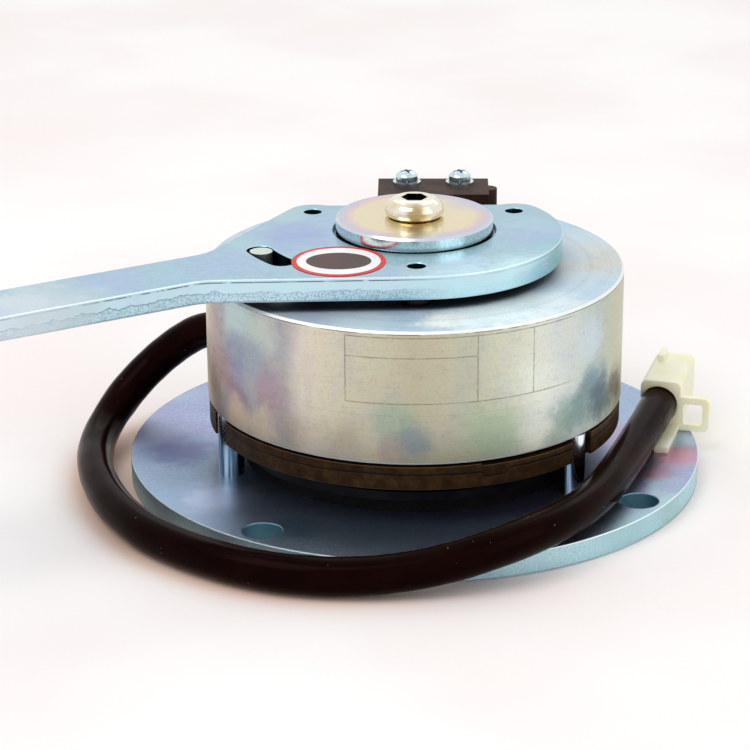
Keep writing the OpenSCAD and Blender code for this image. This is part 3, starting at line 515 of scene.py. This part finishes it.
def magnet_wall_film_and_painted_light(tree, place, angle, z):
    """Champagne wall film with blue, lilac, pink and green clouds, with painted reflections, painted light
    and a painted shade towards the foot.
    """
    # Broad bands run up the wall, partly film and partly painted reflections of the surroundings; their
    # borders wander a few degrees
    drift = add(tree, "Math", [add(tree, "TexNoise", cells(place, 8, 5, 0.6)), 0.5], **MINUS)
    drift = add(tree, "Math", [angle, add(tree, "Math", [drift, 7.0], **TIMES)], **PLUS)
    band = add(tree, "Math", [add(tree, "Math", [drift, 180.0], **PLUS), 360.0], operation="DIVIDE")
    bands = [(-172, "#d8cab0"), (-160, "#a8968a"), (-147, "#9c9fb2"), (-126, "#aeacae"), (-121, "#e6dbc7"),
             (-108, "#d3cfb8"), (-90, "#bcb59b"), (-73, "#c6c8ae"), (-57, "#e4ebdf"), (-43, "#d6e2e2"),
             (-32, "#b9cac8"), (-20, "#c0c4a8"), (20, "#c9be9f"), (150, "#d3c8ac")]
    colour = add(tree, "ValToRGB", [band], stops=[((a + 180) / 360, c) for a, c in bands])
    # The dark patches low at the right are painted reflections of the cable, and the pale patches at the
    # foot on the left are painted light
    patches = [((-30, -20, 35), 7, "#bdd3d3", 0.9), ((-25, -26, 34), 4, "#c3cdc4", 0.7),
               ((-30, -20, 28), 5, "#8d93ac", 0.8), ((-27, -24, 29), 4, "#9aa9b4", 0.7),
               ((-33, -14, 25), 5, "#a48a86", 0.7), ((-31, -18, 22), 4, "#a87c86", 0.5),
               ((-24, -27, 24), 5, "#b096a4", 0.7), ((-29, -21, 21), 4, "#8f7687", 0.6),
               ((-25, -26, 20), 4, "#a89a9c", 0.6), ((-34, -12, 20), 4, "#8f7262", 0.6),
               ((-20, -30, 19), 4, "#b3a594", 0.5), ((-11, -34, 19), 5, "#bbb194", 0.6),
               ((-3, -36, 22), 5, "#9fb39f", 0.7), ((0, -36, 19), 4, "#8d9ba3", 0.85),
               ((-4, -36, 17.5), 3, "#b5a2a0", 0.6), ((13, -33, 20), 7, "#a9bea3", 0.8),
               ((22, -29, 27), 6, "#e6efe2", 0.7), ((26, -25, 20), 5, "#93b0ac", 0.8),
               ((30, -20, 22), 6, "#7391a0", 0.85), ((28, -23, 19), 5, "#869f9c", 0.7),
               ((29, -21, 31), 5, "#d0e0ea", 0.7), ((32, -17, 19), 5, "#5f757c", 0.8),
               ((31, -18, 20), 4, "#4f666e", 0.6), ((34.5, -11, 20), 5, "#6a6350", 0.9),
               ((24, -27, 16.5), 5, "#8fa89c", 0.7), ((35, -8, 28), 5, "#c4cbb0", 0.6),
               ((-30, -20, 16.5), 5, "#e9d3b6", 0.8), ((-25, -26, 16.5), 5, "#e6d5bd", 0.8)]
    # Thin clouds of film all round, strongest at the sides
    squat = add(tree, "Mapping", {"Vector": place, "Scale": (1, 1, 0.8)})
    cloud = add(tree, "TexNoise", cells(squat, 11, 6, 0.62, 0.8))
    veil = add(tree, "ValToRGB", [cloud], stops=[(0.36, "#a9a0b8"), (0.44, "#b7c0c6"), (0.5, "#cfc6ae"),
                                                 (0.57, "#c6cfb6"), (0.66, "#cdb6b4")])
    left = add(tree, "MapRange", [angle, -170, -140, 1.0, 0.0], **SOFT)
    right = add(tree, "MapRange", [angle, -30, 5, 0.0, 0.45], **SOFT)
    sides = add(tree, "Math", [add(tree, "Math", [left, 0.25], **TIMES), right], operation="MAXIMUM")
    sides = add(tree, "Math", [sides, 0.22], operation="MAXIMUM")
    colour = tint_patches(tree, place, lay(tree, colour, (sides, 1, veil)), patches)
    # Painted shade: the wall darkens towards its foot
    low = add(tree, "MapRange", [z, 14.5 * MM, 22 * MM, 0.2, 0.0], **SOFT)
    return add(tree, "Mix", {0: low, 6: colour, 7: hex_rgb("#8f8468")}, **DARKER)


def magnet_top_film_and_painted_light(tree, place):
    """Cold pale film of the faced top, lifted with near-white painted light in front of the lever."""
    film = add(tree, "TexNoise", cells(place, 16, 3, 0.5, 0.5))
    colour = add(tree, "ValToRGB", [film], stops=[(0.35, "#adc8dc"), (0.5, "#b9cdd9"), (0.65, "#c6cecc")])
    # The near-white patches in front of the lever are painted light where the lever shades the top
    patches = [((-18, -29), 7, "#a4b4cc", 0.7), ((-8, -31), 7, "#cbdadf", 0.7),
               ((12, -28), 11, "#eefcfc", 0.9), ((22, -20), 8, "#e4f2f4", 0.8),
               ((4, -30), 5, "#fdfff8", 0.9), ((33, 0), 10, "#c4c3b6", 0.7)]
    return tint_patches(tree, place, colour, [((*at, MAGNET_TOP - 0.05), *film) for at, *film in patches])


# Bare ruled frame printed on the magnet's wall: its heights in millimetres and its uprights in degrees
RULE_LOW, RULE_ROW, RULE_HIGH = 25.4, 33.25, 36.7
RULE_LEFT_A, RULE_MID_A, RULE_RIGHT_A = -108.1, -73.4, -57.3
RULE_FADE_A = (-48, -41)
RULE_HALF, RULE_SOFT = 0.05 * MM, 0.1 * MM


def ruled_frame(tree, angle, z):
    """1 on the rules: two long ones that fade out, a short one between them and three uprights."""
    across = within(tree, angle, (RULE_LEFT_A - 0.3, RULE_LEFT_A + 0.1), RULE_FADE_A)
    up = within(tree, z, ((RULE_LOW - 0.05) * MM, RULE_LOW * MM), (RULE_HIGH * MM, (RULE_HIGH + 0.05) * MM))
    low, row, high = [line_at(tree, z, height * MM, RULE_HALF, RULE_SOFT)
                      for height in (RULE_LOW, RULE_ROW, RULE_HIGH)]
    rules = add(tree, "Math", [across, add(tree, "Math", [high, low], operation="MAXIMUM")], **TIMES)
    short = add(tree, "MapRange", [angle, RULE_MID_A - 0.2, RULE_MID_A + 0.2, 1.0, 0.0], **SOFT)
    short = add(tree, "Math", [across, add(tree, "Math", [short, row], **TIMES)], **TIMES)
    rules = add(tree, "Math", [rules, short], operation="MAXIMUM")
    for a in (RULE_LEFT_A, RULE_MID_A, RULE_RIGHT_A):
        upright = add(tree, "Math", [up, line_at(tree, angle, a, 0.08, 0.2)], **TIMES)
        rules = add(tree, "Math", [rules, upright], operation="MAXIMUM")
    return rules


def magnet_zinc():
    # Straw-coloured zinc on a turned body: a champagne wall with clouds of film and painted reflections, a
    # pale faced top with painted light
    material, tree, place = new_material("straw_zinc_turned_body")
    z = add(tree, "SeparateXYZ", [place], 2)
    angle = angle_of(tree, place)
    top = on_levels(tree)
    wall = on_walls(tree)
    colour = magnet_wall_film_and_painted_light(tree, place, angle, z)
    colour = lay(tree, colour, (top, 1, magnet_top_film_and_painted_light(tree, place)))
    worn = add(tree, "TexNoise", cells(place, 1.5, 3, 0.6))
    worn = add(tree, "MapRange", [worn, 0.3, 0.6, 0.25, 0.6], **SOFT)
    rules = add(tree, "Math", [ruled_frame(tree, angle, z), wall], **TIMES)
    colour = lay(tree, colour, (rules, worn, "#80604f"))
    # Turning marks run round the body, too fine to show one by one, so they are drawn about 0.4 mm apart
    marks = turning_marks(tree, place, 0.4)
    tall = add(tree, "Mapping", {"Vector": place, "Scale": (1, 1, 3)})
    smear = add(tree, "TexNoise", cells(tall, 3, 4, 0.6))
    speck = add(tree, "TexNoise", cells(place, 0.45, 3, 0.7))
    for noise, low, high, strength, tint in ((speck, 0.48, 0.7, 0.22, "#b4afae"),
                                             (smear, 0.5, 0.8, 0.16, "#b8ab94"),
                                             (marks, 0.5, 0.75, 0.2, "#9a907c")):
        share = add(tree, "MapRange", [noise, low, high, 0.0, strength], **SOFT)
        colour = add(tree, "Mix", {0: share, 6: colour, 7: hex_rgb(tint)}, **DARKER)
    roughness = add(tree, "MapRange", [smear, 0.3, 0.75, 0.36, 0.46], **SOFT)
    roughness = add(tree, "Math", [roughness, add(tree, "Math", [top, 0.08], **TIMES)], **PLUS)
    # Painted highlights on the broken edges above and below
    rim = add(tree, "MapRange", [off_axis(tree, place), 34.5 * MM, 35 * MM, 0.0, 0.85], **SOFT)
    rim = add(tree, "Math", [on_broken_edges(tree), rim], **TIMES)
    painted_foot_line = add(tree, "MapRange", [z, (MAGNET_LOW + 0.13) * MM, (MAGNET_LOW + 0.23) * MM, 0.8, 0.0], **SOFT)
    painted_foot_line = add(tree, "Math", [wall, painted_foot_line], **TIMES)
    # A thin dark line below the upper edge, broken here and there
    upright = add(tree, "Mapping", {"Vector": place, "Scale": (1, 1, 0.2)})
    gaps = add(tree, "TexNoise", cells(upright, 5, 3, 0.6))
    gaps = add(tree, "MapRange", [gaps, 0.4, 0.55], **SOFT)
    line = line_at(tree, z, (MAGNET_TOP - 0.47) * MM, 0.04 * MM, 0.08 * MM)
    line = add(tree, "Math", [add(tree, "Math", [wall, gaps], **TIMES), line], **TIMES)
    # Small nicks where it was handled
    squat = add(tree, "Mapping", {"Vector": place, "Scale": (1, 1, 1.6)})
    nicks = add(tree, "TexNoise", cells(squat, 1.1, 5, 0.7))
    nicks = add(tree, "MapRange", [nicks, 0.66, 0.72], **SOFT)
    handled = line_at(tree, z, (MAGNET_TOP - 0.75) * MM, 0.2 * MM, 0.9 * MM)
    nicks = add(tree, "Math", [nicks, handled], **TIMES)
    # Painted shade where little light gets in: far under the lever and in the ball ramps
    open_sky = add(tree, "AmbientOcclusion", {"Distance": 5 * MM}, "AO")
    shade = add(tree, "MapRange", [open_sky, 0.27, 0.42, 0.97, 0.0], **SOFT)
    colour = lay(tree, colour, (rim, 1, "#f6f7f2"), (line, 0.8, "#4b3a2e"), (painted_foot_line, 1, "#eaf2f6"),
                 (nicks, 0.6, "#5a4a3c"), (shade, 1, "#060c1a"))
    # The passivated skin scatters, most of all on the faced top
    metallic = add(tree, "MapRange", [top, 0, 1, 0.85, 0.2], **SOFT)
    skin(tree, colour, roughness, marks, 0.003, {"Metallic": metallic})
    return material


def disc_zinc():
    # Yellow zinc on a turned disc: gold in the middle, lilac and blue towards the rim, and a bright wall
    # that mirrors what lies before it
    material, tree, place = new_material("yellow_zinc_turned_disc")
    z = add(tree, "SeparateXYZ", [place], 2)
    wall = on_walls(tree)
    wander = add(tree, "Math", [add(tree, "TexNoise", cells(place, 7, 3)), 0.5], **MINUS)
    wander = add(tree, "Math", [wander, 4 * MM], **TIMES)
    ring = add(tree, "Math", [off_axis(tree, place), wander], **PLUS)
    ring = add(tree, "MapRange", [ring, 5 * MM, 14 * MM], **SOFT)
    colour = add(tree, "ValToRGB", [ring], stops=[(0.0, "#ddd0ad"), (0.6, "#dccfae"), (0.76, "#d8c3b4"),
                                                  (0.9, "#c9bac4"), (1.0, "#b9bfd2")])
    patches = [((10, 7, 46), 5, "#b9bfd2", 0.7), ((1, -10, 46), 5, "#b9bdb4", 0.7)]
    colour = tint_patches(tree, place, colour, patches)
    # Painted shade at the foot of the wall, where the disc stands on the lever
    foot_shade = add(tree, "MapRange", [z, (LEVER_TOP + 0.3) * MM, (LEVER_TOP + 0.9) * MM, 0.75, 0.0], **SOFT)
    foot_shade = add(tree, "Math", [wall, foot_shade], **TIMES)
    grit = add(tree, "TexNoise", cells(place, 0.35, 3, 0.65))
    grey = add(tree, "MapRange", [grit, 0.45, 0.65, 0.0, 0.4], **SOFT)
    grey = add(tree, "Math", [wall, grey], **TIMES)
    # The broken edges get a painted highlight
    colour = lay(tree, colour, (wall, 0.85, "#e2f2ee"), (foot_shade, 1, "#8b9794"),
                 (on_broken_edges(tree), 0.4, "#e6ecec"), (grey, 1, "#7f9a9e"))
    marks = turning_marks(tree, place, 0.35)
    roughness = add(tree, "MapRange", [marks, 0.3, 0.7, 0.16, 0.26], **SOFT)
    roughness = add(tree, "Math", [roughness, add(tree, "Math", [wall, -0.04], **TIMES)], **PLUS)
    gritty = add(tree, "Math", [add(tree, "Math", [grit, wall], **TIMES), 2.0], **TIMES)
    skin(tree, colour, roughness, add(tree, "Math", [marks, gritty], **PLUS), 0.002, METAL)
    return material


def bolt_zinc():
    # Yellow zinc on a cold-headed screw: pale champagne, polished by handling, with painted shade down in
    # the socket and a painted brown reflection at the front
    material, tree, place = new_material("yellow_zinc_button_screw")
    z = add(tree, "SeparateXYZ", [place], 2)
    smear = add(tree, "TexNoise", cells(place, 2.5, 4, 0.6))
    # Painted reflection: brown patches at the front of the head
    patches = [((0, -4.6, 48), 2.0, "#a58d68", 0.8), ((0.5, -5, 47), 2.2, "#b99c66", 0.7)]
    colour = tint_patches(tree, place, cloudy(tree, smear, "#efe8d6", "#e0d3b4"), patches)
    inner = add(tree, "MapRange", [off_axis(tree, place), 2.35 * MM, 2.5 * MM, 1.0, 0.0], **SOFT)
    below = add(tree, "MapRange", [z, 49.2 * MM, 49.4 * MM, 1.0, 0.0], **SOFT)
    socket_shade = add(tree, "Math", [inner, below], **TIMES)
    colour = lay(tree, colour, (socket_shade, 1, "#1a1830"))
    roughness = add(tree, "MapRange", [smear, 0.3, 0.7, 0.1, 0.2], **SOFT)
    skin(tree, colour, roughness, add(tree, "TexNoise", cells(place, 0.4, 3)), 0.002, METAL)
    return material


def metal(name, colour, rough, worn, size=3.0, depth=0.002):
    """A bare or plated metal with faint smears and fine grain."""
    material, tree, place = new_material(name)
    smear = add(tree, "TexNoise", cells(place, size, 4, 0.6))
    roughness = add(tree, "MapRange", [smear, 0.3, 0.7, rough * 0.75, rough * 1.3], **SOFT)
    grain = add(tree, "TexNoise", cells(place, size / 8, 3))
    skin(tree, cloudy(tree, smear, colour, worn), roughness, grain, depth, METAL)
    return material


def post_steel():
    # Drawn bright steel: draw marks run up the post, and light and dark upright streaks are painted into
    # its colour for the glints and dark reflections they catch
    material, tree, place = new_material("steel_drawn_post")
    upright = add(tree, "Mapping", {"Vector": place, "Scale": (1, 1, 0.03)})
    draw_marks_and_glints = add(tree, "TexNoise", cells(upright, 0.9, 3, 0.6))
    colour = add(tree, "ValToRGB", [draw_marks_and_glints], stops=[(0.4, "#5f7986"), (0.5, "#b3c8d2"), (0.58, "#f6fcff")])
    roughness = add(tree, "MapRange", [draw_marks_and_glints, 0.3, 0.7, 0.2, 0.12], **SOFT)
    skin(tree, colour, roughness, draw_marks_and_glints, 0.01, METAL)
    return material


def plastic(name, colour, shade, rough, grain_mm=0.3, depth=0.01, ior=1.5):
    """A moulded plastic or rubber with slight cloudiness and a fine moulded grain."""
    material, tree, place = new_material(name)
    colour = cloudy(tree, add(tree, "TexNoise", cells(place, 4, 3, 0.5)), colour, shade, 0.3, 0.7)
    grain = add(tree, "TexNoise", cells(place, grain_mm, 3, 0.6))
    roughness = add(tree, "MapRange", [grain, 0.25, 0.75, rough * 0.85, rough * 1.15], **SOFT)
    skin(tree, colour, roughness, grain, depth, {"IOR": ior})
    return material


def armature_steel():
    # Stamped steel under a thin brown oxide: dull, mottled, with a dark shear line round its wall
    material, tree, place = new_material("brown_oxide_stamped_steel")
    z = add(tree, "SeparateXYZ", [place], 2)
    mottle = add(tree, "TexNoise", cells(place, 2.2, 5, 0.65))
    colour = add(tree, "ValToRGB", [mottle], stops=[(0.3, "#261a0c"), (0.5, "#382614"), (0.68, "#4c361e")])
    # The line dips where the blank was nicked, and wanders a little elsewhere
    dip = line_at(tree, angle_of(tree, place), -68, 2.5, 2.0)
    dipped = add(tree, "Math", [z, add(tree, "Math", [dip, 0.9 * MM], **TIMES)], **PLUS)
    sway = add(tree, "Math", [add(tree, "TexNoise", cells(place, 6, 4, 0.6)), 0.5], **MINUS)
    swayed = add(tree, "Math", [dipped, add(tree, "Math", [sway, 0.8 * MM], **TIMES)], **PLUS)
    line = line_at(tree, swayed, 12.9 * MM, 0.07 * MM, 0.2 * MM)
    # The broken edges get a painted highlight
    colour = lay(tree, colour, (line, 0.8, "#120c08"), (on_broken_edges(tree), 0.6, "#7a5f48"))
    grain = add(tree, "TexNoise", cells(place, 0.3, 4, 0.7))
    roughness = add(tree, "MapRange", [grain, 0.3, 0.7, 0.42, 0.6], **SOFT)
    relief = add(tree, "Math", [grain, add(tree, "Math", [line, 2.0], **TIMES)], **MINUS)
    skin(tree, colour, roughness, relief, 0.03, {"Metallic": 0.55, "Specular IOR Level": 0.15})
    return material


def sleeve_vinyl():
    # Soft PVC tube, extruded: near black with a brown cast, a waxy gloss, fine dust specks
    material, tree, place = new_material("pvc_extruded_sleeve")
    cloud = add(tree, "TexNoise", cells(place, 12, 3, 0.5))
    speck = add(tree, "TexNoise", cells(place, 0.7, 2, 0.5))
    speck = add(tree, "MapRange", [speck, 0.76, 0.78], **SOFT)
    colour = lay(tree, cloudy(tree, cloud, "#0a0302", "#140604", 0.35, 0.7), (speck, 0.5, "#b9a9a4"))
    grain = add(tree, "TexNoise", cells(place, 0.6, 3, 0.6))
    roughness = add(tree, "MapRange", [grain, 0.3, 0.7, 0.15, 0.22], **SOFT)
    skin(tree, colour, roughness, grain, 0.012, {
        "IOR": 1.52, "Specular IOR Level": 0.03, "Specular Tint": hex_rgb("#ffb0a4"),
        "Sheen Weight": 0.18, "Sheen Roughness": 0.3, "Sheen Tint": hex_rgb("#a0563c")})
    return material


def plug_nylon():
    # Natural nylon, moulded: milky, lets light through, faintly yellow where it is thick
    material, tree, place = new_material("nylon_natural_moulded")
    colour = cloudy(tree, add(tree, "TexNoise", cells(place, 5, 2, 0.5)), "#fffcdc", "#fdf5c2", 0.35, 0.7)
    grain = add(tree, "TexNoise", cells(place, 0.4, 3, 0.6))
    roughness = add(tree, "MapRange", [grain, 0.3, 0.7, 0.3, 0.42], **SOFT)
    skin(tree, colour, roughness, grain, 0.008, {
        "Subsurface Weight": 0.4, "Subsurface Radius": (1.0, 0.95, 0.75), "Subsurface Scale": 0.004,
        "IOR": 1.53})
    return material


cable, cable_line = make_cable()
cable.data.materials.clear()
cable.data.materials.append(sleeve_vinyl())

dressed("release_lever", "lever_plate", lever_zinc(), break_mm=0.32, segments=3)
dressed("mounting_flange", "flange_plate", flange_zinc(), break_mm=0.25)
dressed("armature_plate", "armature_ring", armature_steel(), break_mm=0.25)
plug = dressed("connector_housing", "plug_shell", plug_nylon(), break_mm=0.22,
               segments=3)


def sticker_film():
    # Printed vinyl film: glossy, white, with a red rim and a plain brown oval
    material, tree, place = new_material("vinyl_printed_film")
    gap = add(tree, "VectorMath", [place, mm(*STICKER_AT)], "Value", operation="DISTANCE")
    rim = add(tree, "MapRange", [gap, STICKER_RIM_R * MM, (STICKER_RIM_R + 0.1) * MM], **SOFT)
    squares = []
    for i, half in enumerate(STICKER_OVAL):
        share = add(tree, "Math", [add(tree, "SeparateXYZ", [place], i), STICKER_AT[i] * MM], **MINUS)
        share = add(tree, "Math", [share, half * MM], operation="DIVIDE")
        squares.append(add(tree, "Math", [share, share], **TIMES))
    oval = add(tree, "MapRange", [add(tree, "Math", squares, **PLUS), 0.98, 1.03, 1.0, 0.0], **SOFT)
    cloud = add(tree, "TexNoise", cells(place, 2.5, 3, 0.6))
    white = cloudy(tree, cloud, "#f6f4f2", "#e9e9ee", 0.3, 0.7)
    red = cloudy(tree, cloud, "#d82e26", "#c42820", 0.35, 0.65)
    ink = cloudy(tree, cloud, "#341d18", "#442a23", 0.35, 0.65)
    colour = lay(tree, white, (rim, 1, red), (oval, 1, ink))
    roughness = add(tree, "MapRange", [cloud, 0.3, 0.7, 0.3, 0.4], **SOFT)
    relief = add(tree, "TexNoise", cells(place, 1.2, 3))
    skin(tree, colour, roughness, relief, 0.006, {"Specular IOR Level": 0.15})
    return material


def make_sticker():
    bm = bmesh.new()
    middle = mm(*STICKER_AT) + mm(0, 0, STICKER_T / 2)
    bmesh.ops.create_cone(bm, cap_ends=True, cap_tris=False, segments=64, radius1=STICKER_R * MM,
                          radius2=STICKER_R * MM, depth=STICKER_T * MM)
    bmesh.ops.translate(bm, verts=bm.verts, vec=middle)
    top = [e for e in bm.edges if e.calc_face_angle(0) > 1 and e.verts[0].co.z > middle.z]
    bmesh.ops.bevel(bm, geom=top, offset=STICKER_EDGE * MM, segments=2, profile=0.5,
                    affect="EDGES", material=-1)
    mesh = bpy.data.meshes.new("round_sticker")
    bm.to_mesh(mesh)
    bm.free()
    mesh.materials.append(sticker_film())
    link("round_sticker", mesh, "lever")


make_sticker()
# Phenolic, moulded: dull dark brown with a coarse grain
switch_finish = plastic("phenolic_moulded_case", "#27150c", "#3e281c", 0.5, grain_mm=0.45, depth=0.05,
                        ior=1.2)
dressed("switch_case", "switch_body", switch_finish, break_mm=0.12)
dressed("switch_cover", "switch_lid", switch_finish, break_mm=0.12)

paint("magnet_body", magnet_zinc())
paint("pull_disc", disc_zinc())
paint("pull_bolt", bolt_zinc())
# Ground bright steel: nearly a mirror
paint("stop_pin", metal("steel_ground_pin", "#c9d3cf", 0.3, "#b2bcb4"))
paint("spacer_post_1", post_steel(), "spacer_post_2", "spacer_post_3")
# Lapped bearing steel, coloured nearly black as painted shade down in the lever's holes
ball_finish = metal("steel_lapped_ball", "#24211d", 0.4, "#1a1815")
paint("release_ball_1", ball_finish, "release_ball_2", "release_ball_3")
# Clear zinc on small screws: cold pale blue
paint("switch_screws", metal("clear_zinc_screw", "#d3e4e6", 0.2, "#b4cdd3", size=1.2), "switch_washers")
# Sprung and turned steel, left bare and oiled: mid grey with a soft gloss
bare = metal("steel_bare_oiled", "#7d8084", 0.35, "#5d6064")
paint("drive_hub", bare, "switch_spring_washers")
# The springs shorten from below when the armature is lifted; here each dressed coil gets a mesh of its own
for number in range(1, 7):
    spring = f"torque_spring_{number}"
    coil = dressed(spring, f"spring_coil_{number}", bare, break_mm=0, smooth_deg=50)
    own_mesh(coil)
# Black oxide on the hidden screws and the carrier: nearly black, dull
paint("post_screws", metal("steel_black_oxide", "#1c1c1e", 0.5, "#2a2826"), "friction_carrier")
# Friction lining, pressed and ground: matt black-grey with coarse grain
lining_finish = plastic("friction_lining_pressed", "#0f0e0e", "#1a1817", 0.9, grain_mm=0.6, depth=0.05,
                        ior=1.2)
paint("lining_lower", lining_finish, "lining_upper")
# Glass-filled nylon, moulded: cream and a little dull
paint("coil_bobbin", plastic("nylon_glass_filled", "#cfc9b8", "#c2baa4", 0.5))
# Enamelled copper, wound: deep orange metal
paint("coil_winding", metal("copper_enamelled_wire", "#a4562c", 0.3, "#8a4422", size=1.0, depth=0.05))
# PVC insulation, extruded: soft red
paint("coil_leads", plastic("pvc_lead_insulation", "#b23a30", "#9e3028", 0.45))
# Stamped brass, tarnished a little: pale brownish yellow
paint("switch_terminals", metal("brass_stamped", "#c8b48c", 0.28, "#b39c70"), "connector_contacts")
# Acetal, moulded: red with a waxy gloss
paint("switch_plunger", plastic("acetal_moulded_plunger", "#b8472e", "#a63c26", 0.4))
# Rubber, moulded: matt near-black
paint("cable_grommet", plastic("rubber_moulded_bush", "#1f1b1c", "#272223", 0.6, grain_mm=0.4, depth=0.02))


# Floor and light: the sheet's half width in metres, and how far it lies below the flange's underside
FLOOR_HALF = 3.0
FLOOR_DROP_MM = 0.05


def make_floor():
    """A sheet of paper under the flange and the cable."""
    bm = bmesh.new()
    bmesh.ops.create_grid(bm, x_segments=1, y_segments=1, size=FLOOR_HALF)
    bmesh.ops.translate(bm, verts=bm.verts, vec=mm(0, 0, -FLOOR_DROP_MM))
    mesh = bpy.data.meshes.new("floor")
    bm.to_mesh(mesh)
    bm.free()
    floor = bpy.data.objects.new("floor", mesh)
    bpy.context.scene.collection.objects.link(floor)
    mesh.materials.append(floor_paper())


def floor_paper():
    # Matt white paper with a slight pink cast and fine fibres
    material, tree, place = new_material("paper_matt_floor")
    cloud = add(tree, "TexNoise", cells(place, 90, 3, 0.5))
    # Painted warm shade on the paper close to the brake, most of all at the left
    open_sky = add(tree, "AmbientOcclusion", {"Distance": 22 * MM}, "AO")
    near = add(tree, "MapRange", [open_sky, 0.45, 0.98, 1.0, 0.0], **SOFT)
    x = add(tree, "SeparateXYZ", [place])
    left = add(tree, "MapRange", [x, -30 * MM, 20 * MM, 1.0, 0.15], **SOFT)
    colour = lay(tree, cloudy(tree, cloud, "#fdfbfa", "#f8f1f0", 0.35, 0.65), (near, left, "#f4d3c2"))
    skin(tree, colour, 0.9, add(tree, "TexNoise", cells(place, 1.2, 4, 0.6)), 0.05)
    return material


LAMP_AIM = mm(0, 0, 20)


def make_lamp(name, at, size, watts):
    """A soft rectangular lamp of this size in metres that shines on the brake."""
    data = bpy.data.lights.new(name, "AREA")
    data.shape = "RECTANGLE"
    data.size, data.size_y = size
    data.energy = watts
    lamp = bpy.data.objects.new(name, data)
    bpy.context.scene.collection.objects.link(lamp)
    lamp.location = at
    lamp.rotation_mode = "QUATERNION"
    lamp.rotation_quaternion = (LAMP_AIM - at).to_track_quat("-Z", "Y")


# How strongly the white surroundings light the brake
WORLD_LIGHT = 0.66


def make_world():
    """White surroundings, seen at full white by the camera, in reflections and through the plug."""
    world = bpy.data.worlds.new("studio")
    bpy.context.scene.world = world
    world.use_nodes = True
    tree = world.node_tree
    tree.nodes.clear()
    rays = add(tree, "LightPath").node.outputs
    seen = add(tree, "Math", [rays["Is Glossy Ray"], rays["Is Transmission Ray"]], operation="MAXIMUM")
    seen = add(tree, "Math", [rays["Is Camera Ray"], seen], operation="MAXIMUM")
    light = add(tree, "Background", {"Color": hex_rgb("#ffffff"), "Strength": WORLD_LIGHT})
    white = add(tree, "Background", {"Color": hex_rgb("#ffffff"), "Strength": 1.0})
    add(tree, "OutputWorld", {"Surface": add(tree, "MixShader", [seen, light, white])})


make_floor()
make_world()
make_lamp("soft_key", mm(-350, -300, 700), size=(0.5, 0.5), watts=2.4)
make_lamp("soft_fill", mm(500, -350, 400), size=(0.5, 0.6), watts=0.8)
make_lamp("soft_back", mm(100, 600, 600), size=(0.8, 0.4), watts=1.0)
bpy.context.scene.view_settings.view_transform = "Standard"
